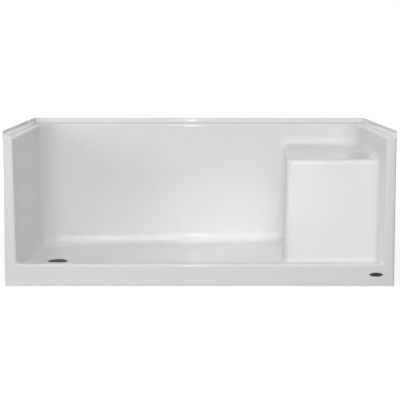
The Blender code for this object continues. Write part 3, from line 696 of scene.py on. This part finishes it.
    def cage_lines(self):
        """The lines along X, Y and Z that divide the block into cells."""
        skin, over, land = self.skin, self.overrun, self.outlet_land
        wide, steps, few = self.wide_steps, self.steps, self.edge_steps
        ends = [self.end_x + over, self.end_x, self.end_x - skin,
                self.wall_x + skin, self.wall_x]
        x_faces = ends + [-face for face in ends] + [
            self.seat_x, self.seat_x + skin, self.outlet_x - land, self.outlet_x + land]
        end_fillets = fillet_lines(
            (self.end_x - skin, -self.flange_fillet, few),
            (self.wall_x, self.ledge_edge, steps),
            (self.wall_x, -self.wall_corner, wide),
            (self.wall_x, -self.foot_fillet, steps),
            (self.wall_x, -self.corner_fillet, few))
        x_fillets = end_fillets + [-line for line in end_fillets] + fillet_lines(
            (self.seat_x, self.seat_corner, steps),
            (self.seat_x, -self.floor_fillet, steps))
        y_faces = [self.front_y - over, self.front_y, self.front_y + skin, self.return_y,
                   self.step_y - skin, self.step_y, self.seat_y, self.seat_y + skin,
                   self.wall_y, self.wall_y + skin, self.back_y - skin, self.back_y,
                   self.back_y + over, self.outlet_y - land, self.outlet_y + land]
        y_fillets = fillet_lines(
            (self.front_y, self.opening_round, few),
            (self.step_y, -self.step_round, few),
            (self.step_y, self.floor_fillet, steps),
            (self.step_y, self.corner_fillet, few),
            (self.seat_y, self.seat_corner, steps),
            (self.seat_y, -self.floor_fillet, steps),
            (self.wall_y, self.ledge_edge, steps),
            (self.wall_y, -self.wall_corner, wide),
            (self.wall_y, -self.seat_fillet, steps),
            (self.back_y - skin, -self.flange_fillet, few))
        levels = (self.floor_level, self.step_height, self.seat_height, self.ledge_height)
        z_faces = [-over, 0, self.height, self.height + over, *levels]
        z_faces += [level - skin for level in levels]
        z_fillets = fillet_lines(
            (self.floor_level, self.floor_fillet, steps),
            (self.step_height, -self.step_round, few),
            (self.step_height, -self.opening_round, few),
            (self.step_height, self.corner_fillet, few),
            (self.seat_height, -self.seat_edge, steps),
            (self.seat_height, self.seat_fillet, steps),
            (self.ledge_height, -self.ledge_edge, steps),
            (self.ledge_height, self.flange_fillet, few))
        return (self.spaced_lines(x_faces, x_fillets), self.spaced_lines(y_faces, y_fillets),
                self.spaced_lines(z_faces, z_fillets))

    def rough_kind(self, middle):
        """Whether a rough face is on the underside or on a post's side return."""
        off_return = self.return_room(middle, True)
        off_underside = self.underside_room(middle, True)
        return "return" if abs(off_return) < abs(off_underside) else "underside"

    def cage(self):
        """Square-edged moulding: points, quads, their kinds, and points on each kind."""
        lines = self.cage_lines()
        centres = np.meshgrid(*[(line[1:] + line[:-1]) / 2 for line in lines], indexing="ij")
        beyond = (centres[2] < 0) | (centres[2] > self.height)
        behind = np.minimum(self.underside_room(centres, True),
                            self.return_room(centres, True)) > 0
        solid = ~(self.finished_room(centres, True) > 0) & ~behind & ~beyond
        number_of, points, quads, kinds = {}, [], [], []
        touching = {kind: set() for kind in SKIN_SLOTS}
        for axis, side in itertools.product(range(3), (0, 1)):
            shifted = np.roll(solid, 1 - 2 * side, axis=axis)
            turn = [(0, 0), (1, 0), (1, 1), (0, 1)][:: 1 if side else -1]
            for cell in np.argwhere(solid & ~shifted):
                corners = []
                for first, second in turn:
                    corner = cell.copy()
                    corner[axis] += side
                    corner[(axis + 1) % 3] += first
                    corner[(axis + 2) % 3] += second
                    corners.append(tuple(corner))
                cell[axis] += 2 * side - 1
                neighbour = tuple(cell)
                kind = "finished"
                if beyond[neighbour]:
                    kind = "rim"
                elif behind[neighbour]:
                    kind = self.rough_kind(
                        [lines[n][[spot[n] for spot in corners]].mean() for n in range(3)])
                for corner in corners:
                    if corner not in number_of:
                        number_of[corner] = len(points)
                        points.append([lines[n][corner[n]] for n in range(3)])
                quad = [number_of[corner] for corner in corners]
                quads.append(quad)
                kinds.append(kind)
                touching[kind].update(quad)
        touching = {kind: sorted(found) for kind, found in touching.items()}
        return np.array(points).T, quads, kinds, touching

    def rounded_square(self, points, across, centre, radius, fade, extra_fade=0):
        """Draw a square corner's lines in to round ones, in the plane of two axes."""
        first, second = across
        side = np.sign(points[first]) if first == 0 else 1
        u = side * points[first] - centre[0]
        v = centre[2] * (points[second] - centre[1])
        square = np.maximum(u, v)
        circle = np.maximum(np.hypot(u, v), self.nudge)
        share = np.clip((square - radius - self.skin) / fade, 0, 1)
        share = np.maximum(share, extra_fade)
        factor = np.where((u > 0) & (v > 0), (square / circle) * (1 - share) + share, 1)
        points[first] = side * (centre[0] + u * factor)
        points[second] = centre[1] + centre[2] * v * factor

    def draw_in(self, points):
        """Bring the square cage near the drafted, falling, rounded surfaces."""
        fillet, level = self.floor_fillet, self.floor_level
        past_step = np.clip((points[1] - self.step_y) / fillet, 0, 1)
        step_edge = self.step_height - self.step_round - self.skin
        under_step = np.clip((step_edge - points[2]) / (step_edge - level), 0, 1)
        near_floor = np.clip((level + 3 * fillet - points[2]) / (2 * fillet), 0, 1)
        near_floor = under_step + (near_floor - under_step) * past_step
        off_ground = np.clip(points[2] / (level - self.skin), 0, 1)
        rise = self.floor_top(points[0], points[1]) - level
        points[2] += rise * near_floor * off_ground
        from_side = self.seat_turn_reach - np.abs(points[0] - self.seat_x)
        by_seat = np.clip(from_side / (self.seat_turn_reach - fillet), 0, 1)
        points[0] += np.maximum(self.seat_skew(points[1]), 0) * by_seat
        fade = self.end_x - self.wall_x - 2 * self.skin
        outer = np.clip((self.end_x - self.skin - np.abs(points[0])) / fade, 0, 1)
        outer *= np.abs(points[0]) > self.wall_x - self.wall_corner
        points[0] -= np.sign(points[0]) * np.maximum(self.wall_lean(points[2]), 0) * outer
        corner = self.corner_fillet
        end_centre = self.wall_x - self.wall_lean(self.step_height) - corner
        step_centre = (end_centre, self.step_height + corner, -1)
        self.rounded_square(points, (0, 2), step_centre, corner, fade, past_step)
        foot_centre = (self.wall_x - corner, self.step_y + corner, -1)
        self.rounded_square(points, (0, 1), foot_centre, corner, fade, 1 - under_step)
        wall_centre = (self.wall_x - self.wall_corner, self.wall_y - self.wall_corner, 1)
        self.rounded_square(points, (0, 1), wall_centre, self.wall_corner, fade)

    def settle(self, points, room, chosen):
        """Move the chosen points one step towards where a room's distance is zero."""
        here = points[:, chosen]
        distance = room(here)
        gradient = np.empty_like(here)
        for axis in range(3):
            beside = here.copy()
            beside[axis] += self.nudge
            gradient[axis] = (room(beside) - distance) / self.nudge
        move = distance / np.maximum((gradient ** 2).sum(axis=0), self.least_slope)
        move = np.clip(move, -self.longest_move, self.longest_move)
        points[:, chosen] = here - move * gradient

    def settled(self):
        """Points, quads and kinds of the finished moulding."""
        points, quads, kinds, touching = self.cage()
        rim_height = points[2, touching["rim"]]
        self.draw_in(points)
        rooms = {"finished": self.finished_room, "underside": self.underside_room,
                 "return": self.return_room}
        for turn in range(self.settle_turns):
            for kind, room in rooms.items():
                self.settle(points, room, touching[kind])
            points[2, touching["rim"]] = rim_height
        return points, quads, kinds


def cut_round_hole(item, centre, diameter, depth, sides):
    """Cut a round hole up through an object, with its wall in the second material."""
    shape = bmesh.new()
    bmesh.ops.create_cone(shape, cap_ends=True, segments=sides, radius1=diameter / 2,
                          radius2=diameter / 2, depth=depth)
    moved_over(shape, centre)
    for face in shape.faces:
        face.material_index = 1
    cutter = new_object("hole_cutter", mesh_of("hole_cutter", shape), *item.data.materials)
    modifier = item.modifiers.new("hole", "BOOLEAN")
    modifier.operation = "DIFFERENCE"
    modifier.solver = "EXACT"
    modifier.object = cutter
    made_plain(item)
    bpy.data.objects.remove(cutter, do_unlink=True)


class BASE_OT_moulding(bpy.types.Operator):
    """Add the gelcoated moulding"""

    bl_idname = "base.moulding"
    bl_label = "Add Moulding"

    def execute(self, context):
        sizes = context.scene.base_moulding
        outlet = context.scene.base_outlet.centre
        form = MouldedForm(sizes, outlet)
        points, quads, kinds = form.settled()
        mesh = bpy.data.meshes.new("moulding")
        mesh.from_pydata([tuple(point) for point in points.T], [], quads)
        mesh.polygons.foreach_set("material_index", [SKIN_SLOTS[kind] for kind in kinds])
        mesh.update()
        item = new_object("moulding", mesh, gelcoat_finish(sizes.gelcoat),
                          laminate_finish(sizes.resin))
        cut_round_hole(item, outlet, form.outlet_hole, form.hole_cut, form.hole_sides)
        smoothed(item.data, 40.0)
        declared(item, "moulded_shell")
        return {"FINISHED"}


# ---------------------------------------------------------------- timber

# How far, at most, the grain's pattern is shifted on a timber, in metres
GRAIN_DRIFT = 9


def dressed_timber(node, axis, width, surface, flat=False):
    """A timber with eased edges, and coordinates on its mesh that follow its grain."""
    shape = merged_solid(node)
    ease_edges(shape, width)
    item = new_piece("timber_" + node, shape, surface)
    low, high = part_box(node)
    middle = (Vector(low) + Vector(high)) / 2
    drift = random.Random(node)
    offset = Vector([drift.uniform(-GRAIN_DRIFT, GRAIN_DRIFT) for number in range(3)])
    if flat:
        middle.z = low[2]
        offset.z = 0
    order = (axis, (axis + 1) % 3, (axis + 2) % 3)
    values = []
    for vertex in item.data.vertices:
        place = vertex.co - middle
        values += [place[order[n]] + offset[n] for n in range(3)]
    attribute = item.data.attributes.new("grain", "FLOAT_VECTOR", "POINT")
    attribute.data.foreach_set("vector", values)
    declared(item, node)


class BASE_OT_timber(bpy.types.Operator):
    """Add the rails, battens, legs, beams and boards"""

    bl_idname = "base.timber"
    bl_label = "Add Timber"

    def execute(self, context):
        sizes = context.scene.base_timber
        wood = softwood_finish(sizes.light_wood, sizes.dark_wood)
        board = plywood_finish(sizes.light_wood, sizes.dark_wood)
        for node, axis in SOFTWOOD.items():
            dressed_timber(node, axis, sizes.eased_edge, wood)
        for node, axis in PLYWOOD.items():
            dressed_timber(node, axis, sizes.board_edge, board, flat=True)
        return {"FINISHED"}


# ---------------------------------------------------------------- outlet

def stepped(radius, height, steps):
    """Points of a profile, as steps outward from a radius and up from a height."""
    return [(radius + out, height + up) for out, up in steps]


class BASE_OT_outlet(bpy.types.Operator):
    """Add the flanged fitting, its gasket, washer and nut"""

    bl_idname = "base.outlet"
    bl_label = "Add Outlet Fitting"

    # Radii of the bore, the barrel, the strainer's seat and the hole in the two rings
    bore = 0.0345
    barrel = 0.0385
    seat = 0.04155
    ring_bore = 0.0388
    seat_depth = 0.0019
    flange_thickness = 0.0036
    # The flange's rim: a flat under it, its own edge's height under the top, and its slope
    flat_inset = 0.004
    edge_drop = 0.0008
    slope_inset = 0.0065
    crest_inset = 0.010
    rim_round = 0.0009
    # Eased edges, as steps for stepped()
    bore_foot = ((0.0, 0.0006), (0.0006, 0.0))
    seat_lip = ((0.0013, 0.0), (0.0004, -0.0001), (0.0, -0.0005))
    seat_foot = ((0.0, 0.0003), (-0.0003, 0.0))
    bore_lip = ((0.0005, 0.0), (0.0001, -0.0002), (0.0, -0.0006))
    barrel_chamfer = 0.0012
    # The thread's place on the barrel, and its section
    thread_foot = 0.0010
    thread_top = 0.0030
    thread_rows = 48
    thread_flank = 1.6
    thread_lead = 0.0006
    barrel_sides = 128
    ring_sides = 96
    gasket_edge = 0.0006
    washer_edge = 0.0002
    nut_edge = 0.0004

    def execute(self, context):
        sizes = context.scene.base_outlet
        plastic = moulded_finish("outlet_plastic", sizes.plastic, (0.24, 0.34))
        rubber = moulded_finish("outlet_rubber", sizes.rubber, (0.6, 0.8),
                                texture=0.0001, scale=500.0)
        self.add_body(sizes, plastic)
        card = card_finish()
        self.add_ring("outlet_gasket", "outlet_rubber", rubber, self.gasket_edge, sizes)
        self.add_ring("friction_washer", "washer_card", card, self.washer_edge, sizes)
        shape = merged_solid("outlet_locknut")
        ease_edges(shape, self.nut_edge)
        declared(new_piece("locknut", shape, plastic), "outlet_locknut")
        return {"FINISHED"}

    def add_body(self, sizes, plastic):
        """The flange with its strainer seat, on a threaded barrel."""
        low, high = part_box("outlet_body")
        foot, top = low[2], high[2]
        flange = (high[0] - low[0]) / 2
        under = top - self.flange_thickness
        recess = top - self.seat_depth
        start, end = foot + self.thread_foot, under - self.thread_top
        rows = self.thread_rows
        rim = [(flange - self.flat_inset, under), (flange, under),
               (flange, top - self.edge_drop), (flange - self.slope_inset, top),
               (flange - self.crest_inset, top)]
        profile = [
            (self.barrel - self.barrel_chamfer, foot),
            *[(self.barrel, start + (end - start) * row / rows) for row in range(rows + 1)],
            (self.barrel, under), rim[0],
            *rounded_profile(rim, self.rim_round, open_ends=True),
            *stepped(self.seat, top, self.seat_lip),
            *stepped(self.seat, recess, self.seat_foot),
            *stepped(self.bore, recess, self.bore_lip),
            *stepped(self.bore, foot, self.bore_foot),
        ]

        def thread(radius, height, angle):
            """How far the thread moves a point of the barrel in or out."""
            if radius != self.barrel or height > end or height < start:
                return 0.0
            turn = (height - start) / sizes.thread_pitch - angle / (2 * math.pi)
            wave = abs((turn % 1.0) - 0.5) * 2
            lead = (height - start) / self.thread_lead
            fade = min(1.0, (end - height) / sizes.thread_pitch, lead)
            return -sizes.thread_depth * min(1.0, wave * self.thread_flank) * max(fade, 0.0)

        shape = turned_shape(profile, self.barrel_sides, thread)
        moved_over(shape, sizes.centre)
        body = new_piece("outlet_flange", shape, plastic, 40.0)
        declared(body, "outlet_body")

    def add_ring(self, node, slot, surface, edge, sizes):
        """A flat ring with rounded edges."""
        low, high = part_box(node)
        inner, outer = self.ring_bore, (high[0] - low[0]) / 2
        corners = [(inner, low[2]), (outer, low[2]), (outer, high[2]), (inner, high[2])]
        shape = turned_shape(rounded_profile(corners, edge), self.ring_sides)
        moved_over(shape, sizes.centre)
        declared(new_piece("ring_" + node, shape, surface, 50.0), node)


class GeometryTree:
    """A Geometry Nodes tree under construction, with named inputs."""

    def __init__(self, name, *inputs):
        self.group = bpy.data.node_groups.new(name, "GeometryNodeTree")
        interface = self.group.interface
        for way in ("INPUT", "OUTPUT"):
            interface.new_socket("Geometry", in_out=way, socket_type="NodeSocketGeometry")
        self.sockets = {
            key: interface.new_socket(key.replace("_", " ").title(), in_out="INPUT",
                                      socket_type="NodeSocketFloat")
            for key in inputs}
        self.entry = self.group.nodes.new("NodeGroupInput")
        self.geometry = Wire(self.group, self.entry.outputs["Geometry"])

    def given(self, key):
        """A named input's value."""
        return Wire(self.group, self.entry.outputs[self.sockets[key].name])

    def node(self, kind, inputs=(), output=0, **settings):
        """Add a geometry node."""
        return add_node(self.group, "GeometryNode" + kind, inputs, output, **settings)

    def vector(self, x=0.0, y=0.0, z=0.0):
        """A vector from its three parts."""
        return add_node(self.group, "ShaderNodeCombineXYZ", {0: x, 1: y, 2: z})

    def moved(self, shape, place):
        """A geometry at another place."""
        return self.node("Transform", {"Geometry": shape, "Translation": place})

    def round_the_axis(self, shape, count, start=0.0):
        """Copies of a geometry, turned in equal steps about Z."""
        turn = (self.node("InputIndex") + start) * (2 * math.pi / count)
        points = self.node("Points", {"Count": count})
        inputs = {"Points": points, "Instance": shape, "Rotation": self.vector(z=turn)}
        return self.node("InstanceOnPoints", inputs)

    def real(self, shapes):
        """Several geometries as one, with every copy real."""
        return self.node("RealizeInstances", {0: self.node("JoinGeometry", {0: shapes})})

    def boolean(self, operation, inputs):
        """Geometries cut from one another or fused."""
        return self.node("MeshBoolean", inputs, "Mesh", operation=operation, solver="EXACT")

    def finished(self, shape, surface):
        """End the tree with real geometry in one material."""
        shape = self.node("RealizeInstances", {"Geometry": shape})
        shape = self.node("SetMaterial", {"Geometry": shape, "Material": surface})
        add_node(self.group, "NodeGroupOutput", {0: shape})

    def grown(self, item, **values):
        """Run the tree on an object with its inputs set, and keep the plain mesh."""
        modifier = item.modifiers.new(self.group.name, "NODES")
        modifier.node_group = self.group
        for key, value in values.items():
            modifier[self.sockets[key].identifier] = value
        made_plain(item)


class BASE_OT_strainer(bpy.types.Operator):
    """Add the slotted strainer with its spring clips"""

    bl_idname = "base.strainer"
    bl_label = "Add Strainer"

    # Slots in each ring, and where they start and end along the radius
    rings = ((6, 0.11, 0.30), (12, 0.40, 0.595), (20, 0.69, 0.875))
    slot_end_sides = 20
    clips = 3
    clip_reach = 0.0342
    clip_width = 0.010
    clip_thickness = 0.0012
    thickness = 0.0016
    rim_radius = 0.0005
    eased_edge = 0.00015
    eased_angle = 60.0
    merging = 0.000005
    sides = 96

    def execute(self, context):
        sizes = context.scene.base_outlet
        low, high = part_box("outlet_strainer")
        radius, top = sizes.strainer_diameter / 2, high[2]
        bottom = top - self.thickness
        corners = [(0.0, bottom), (radius, bottom), (radius, top), (0.0, top)]
        rim = rounded_profile(corners, self.rim_radius, open_ends=True)
        shape = lofted([[(far * math.cos(angle), far * math.sin(angle), height)
                         for angle in turns(self.sides)] for far, height in rim], capped=True)
        # The strainer's finish is near black, painted shade for the dark of the outlet's hole
        dark = moulded_finish("dark_strainer", sizes.dark, (0.42, 0.54))
        item = new_object("strainer", mesh_of("strainer", shape), dark)
        self.slotted_plate(dark).grown(
            item, radius=radius, width=sizes.slot_width, bottom=bottom,
            thickness=self.thickness, clip_reach=self.clip_reach, clip_foot=low[2])
        shape = bmesh.new()
        shape.from_mesh(item.data)
        flattened(shape, self.merging)
        ease_edges(shape, self.eased_edge, 1, self.eased_angle)
        moved_over(shape, sizes.centre)
        bmesh.ops.recalc_face_normals(shape, faces=shape.faces)
        shape.to_mesh(item.data)
        shape.free()
        smoothed(item.data)
        declared(item, "outlet_strainer", "strainer")
        return {"FINISHED"}

    def slotted_plate(self, surface):
        """A tree that cuts rings of slots through a plate and adds its clips."""
        tree = GeometryTree("slotted_plate", "radius", "width", "bottom", "thickness",
                           "clip_reach", "clip_foot")
        radius, thickness = tree.given("radius"), tree.given("thickness")
        half = tree.given("width") * 0.5
        middle = tree.given("bottom") + thickness * 0.5
        end = tree.node("MeshCylinder", {"Vertices": self.slot_end_sides, "Radius": half,
                                         "Depth": thickness * 3.0})
        cuts = []
        for count, start, stop in self.rings:
            ends = [tree.moved(end, tree.vector(x=place, z=middle))
                    for place in (radius * start + half, radius * stop - half)]
            slot = tree.node("ConvexHull", {0: tree.node("JoinGeometry", {0: ends})})
            cuts.append(tree.round_the_axis(slot, count, 0.5))
        inputs = {"Mesh 1": tree.geometry, "Mesh 2": tree.real(cuts)}
        plate = tree.boolean("DIFFERENCE", inputs)
        length = middle - tree.given("clip_foot")
        size = tree.vector(self.clip_thickness, self.clip_width, length)
        place = tree.vector(x=tree.given("clip_reach") - self.clip_thickness / 2,
                            z=middle - length * 0.5)
        blade = tree.moved(tree.node("MeshCube", {"Size": size}), place)
        clips = tree.real(tree.round_the_axis(blade, self.clips))
        tree.finished(tree.boolean("UNION", {"Mesh 2": [plate, clips]}), surface)
        return tree


# ---------------------------------------------------------------- name plate

class BASE_OT_plate(bpy.types.Operator):
    """Add the blank name plate"""

    bl_idname = "base.plate"
    bl_label = "Add Name Plate"

    # The plate's section, as insets from its rim and shares of its thickness
    rim_share = 0.55
    rim_round = 0.0006
    round_share = 0.30
    round_angles = (0.4, 0.8, 1.2, 1.57)
    dome = ((0.0030, 0.92), (0.0055, 0.985))
    sides = 72

    def execute(self, context):
        low, high = (Vector(corner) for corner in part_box("name_plate"))
        middle, half = (low + high) / 2, (high - low) / 2
        rows = [(0.0, 0.0), (0.0, self.rim_share)]
        for angle in self.round_angles:
            rows.append((self.rim_round * (1 - math.cos(angle)),
                         self.rim_share + self.round_share * math.sin(angle)))
        rings = []
        for inset, share in rows + list(self.dome):
            rings.append([(middle.x + (half.x - inset) * math.cos(angle),
                           high.y - 2 * half.y * share,
                           middle.z + (half.z - inset) * math.sin(angle))
                          for angle in turns(self.sides)])
        colour = context.scene.base_outlet.plate
        surface = moulded_finish("dark_plate", colour, (0.16, 0.24), texture=0.00001)
        item = new_piece("blank_plate", lofted(rings, capped=True), surface, 50.0)
        declared(item, "name_plate")
        return {"FINISHED"}


# ---------------------------------------------------------------- studio

def soft_light(name, power, place, target, size, spread, mirrored):
    """A rectangular lamp aimed at a target, with its beam's spread in degrees."""
    lamp = bpy.data.lights.new(name, "AREA")
    lamp.shape = "RECTANGLE"
    lamp.size, lamp.size_y = size
    lamp.energy = power
    lamp.spread = math.radians(spread)
    item = bpy.data.objects.new(name, lamp)
    item.location = place
    item.rotation_euler = (Vector(target) - Vector(place)).to_track_quat("-Z", "Y").to_euler()
    item.visible_camera = False
    item.visible_glossy = mirrored
    bpy.context.scene.collection.objects.link(item)


def background_rays(tree):
    """1 for rays from the camera, and from gloss and glass that show the background."""
    camera, glossy, transmitted = (
        add_node(tree, "ShaderNodeLightPath", output=f"Is {kind} Ray")
        for kind in ("Camera", "Glossy", "Transmission"))
    return camera.maths("MAXIMUM", glossy).maths("MAXIMUM", transmitted)


class BASE_OT_studio(bpy.types.Operator):
    """Add the floor, the white surroundings, the soft lamps and the camera"""

    bl_idname = "base.studio"
    bl_label = "Add Studio"

    # Each lamp's place, target, size across and up, beam in degrees, and whether gloss shows it
    lamps = {
        "front": ((0.0, -6.6, 2.4), (0.0, 0.0, 0.3), (5.0, 3.0), 180.0, True),
        "spark": ((-0.05, -3.5, 1.25), (-0.05, 0.0, 0.5), (0.06, 1.2), 180.0, True),
        "beam": ((0.1, -3.2, 2.1), (0.02, 0.30, 0.0), (1.0, 0.15), 10.0, False),
        "rear": ((-0.6, 4.2, 0.45), (0.0, 0.3, 0.3), (3.0, 0.7), 180.0, True),
        "side": ((-3.6, -3.6, 1.9), (0.2, 0.0, 0.3), (1.4, 1.4), 180.0, True),
        "strip": ((0.1, -1.6, 2.9), (0.05, 0.1, 0.2), (2.4, 0.25), 180.0, True),
    }
    sensor_width = 36.0
    floor_reach = 14.0
    floor_cells = 8
    floor_greys = ((0.5, 0.5, 0.5), (0.52, 0.52, 0.52))
    floor_roughness = 0.9
    shadow_grey = (0.42, 0.42, 0.42)
    # The floor's glow: where it starts and stops rising, and its strength at both
    glow = (1.0, 3.0, 0.80, 1.0)
    # Where the glow starts and is whole, out from under the outlet
    outlet_shade = (0.10, 0.12)

    def execute(self, context):
        sizes = context.scene.base_studio
        self.add_floor(context.scene.base_outlet.centre)
        self.add_world(sizes.sky)
        for name, lamp in self.lamps.items():
            soft_light(name + "_light", getattr(sizes, name), *lamp)
        lens = bpy.data.cameras.new("camera")
        lens.lens = sizes.lens
        lens.sensor_width = self.sensor_width
        lens.shift_x, lens.shift_y = sizes.shift_x, sizes.shift_y
        camera = bpy.data.objects.new("camera", lens)
        camera.location = sizes.camera_place
        camera.rotation_euler = (math.radians(90) - sizes.camera_pitch, 0.0, 0.0)
        context.scene.collection.objects.link(camera)
        context.scene.camera = camera
        context.scene.view_settings.view_transform = "Standard"
        return {"FINISHED"}

    def add_floor(self, outlet):
        """A wide pale floor that keeps the base's shadow, dark where the outlet ends."""
        shape = bmesh.new()
        bmesh.ops.create_grid(shape, x_segments=self.floor_cells, y_segments=self.floor_cells,
                              size=self.floor_reach)
        finish = Finish("studio_floor")
        where = finish.where
        cloud = finish.noise(3.0, 3.0)
        finish.made(finish.mixed(cloud, *self.floor_greys), self.floor_roughness)
        away = finish.node("VectorMath", {0: where}, "Value", operation="LENGTH")
        out = finish.node("VectorMath", {0: where, 1: outlet}, "Value", operation="DISTANCE")
        shine = finish.between(away, *self.glow) * finish.between(out, *self.outlet_shade)
        glow = finish.node("Emission", {"Color": shine, "Strength": 1.0})
        catch = finish.node("BsdfDiffuse", {"Color": self.shadow_grey})
        shown = finish.node("AddShader", {0: glow, 1: catch})
        plain = Wire(finish.tree, finish.shader.outputs[0])
        inputs = {0: background_rays(finish.tree), 1: plain, 2: shown}
        output = finish.tree.nodes["Material Output"]
        plug(finish.tree, finish.node("MixShader", inputs), output.inputs["Surface"])
        new_object("studio_floor", mesh_of("studio_floor", shape), finish.material)

    def add_world(self, strength):
        """White to the camera and in reflections, and a softer light for the rest."""
        world = bpy.data.worlds.new("studio_white")
        world.use_nodes = True
        tree = world.node_tree
        tree.nodes.clear()
        light = background_rays(tree) * (1.0 - strength) + strength
        shade = add_node(tree, "ShaderNodeBackground", {"Color": (1.0, 1.0, 1.0),
                                                        "Strength": light})
        add_node(tree, "ShaderNodeOutputWorld", {"Surface": shade})
        bpy.context.scene.world = world


# ---------------------------------------------------------------- panel and main

OPERATORS = (
    BASE_OT_moulding,
    BASE_OT_timber,
    BASE_OT_outlet,
    BASE_OT_strainer,
    BASE_OT_plate,
    BASE_OT_studio,
)


class BASE_PT_panel(bpy.types.Panel):
    """Lists the settings and the steps that build the shower base."""

    bl_label = "Shower Base"
    bl_idname = "BASE_PT_panel"
    bl_space_type = "VIEW_3D"
    bl_region_type = "UI"
    bl_category = "Shower Base"

    def draw(self, context):
        for key, group in SETTINGS.items():
            box = self.layout.box()
            box.label(text=group.__doc__)
            for name in group.__annotations__:
                box.prop(getattr(context.scene, key), name)
        for operator in OPERATORS:
            self.layout.operator(operator.bl_idname)


def register():
    for key, group in SETTINGS.items():
        bpy.utils.register_class(group)
        setattr(bpy.types.Scene, key, bpy.props.PointerProperty(type=group))
    for operator in OPERATORS:
        bpy.utils.register_class(operator)
    bpy.utils.register_class(BASE_PT_panel)


def unregister():
    bpy.utils.unregister_class(BASE_PT_panel)
    for operator in reversed(OPERATORS):
        bpy.utils.unregister_class(operator)
    for key, group in reversed(SETTINGS.items()):
        delattr(bpy.types.Scene, key)
        bpy.utils.unregister_class(group)


def main():
    register()
    bpy.ops.base.moulding()
    bpy.ops.base.timber()
    bpy.ops.base.outlet()
    bpy.ops.base.strainer()
    bpy.ops.base.plate()
    bpy.ops.base.studio()


if __name__ == "__main__":
    main()
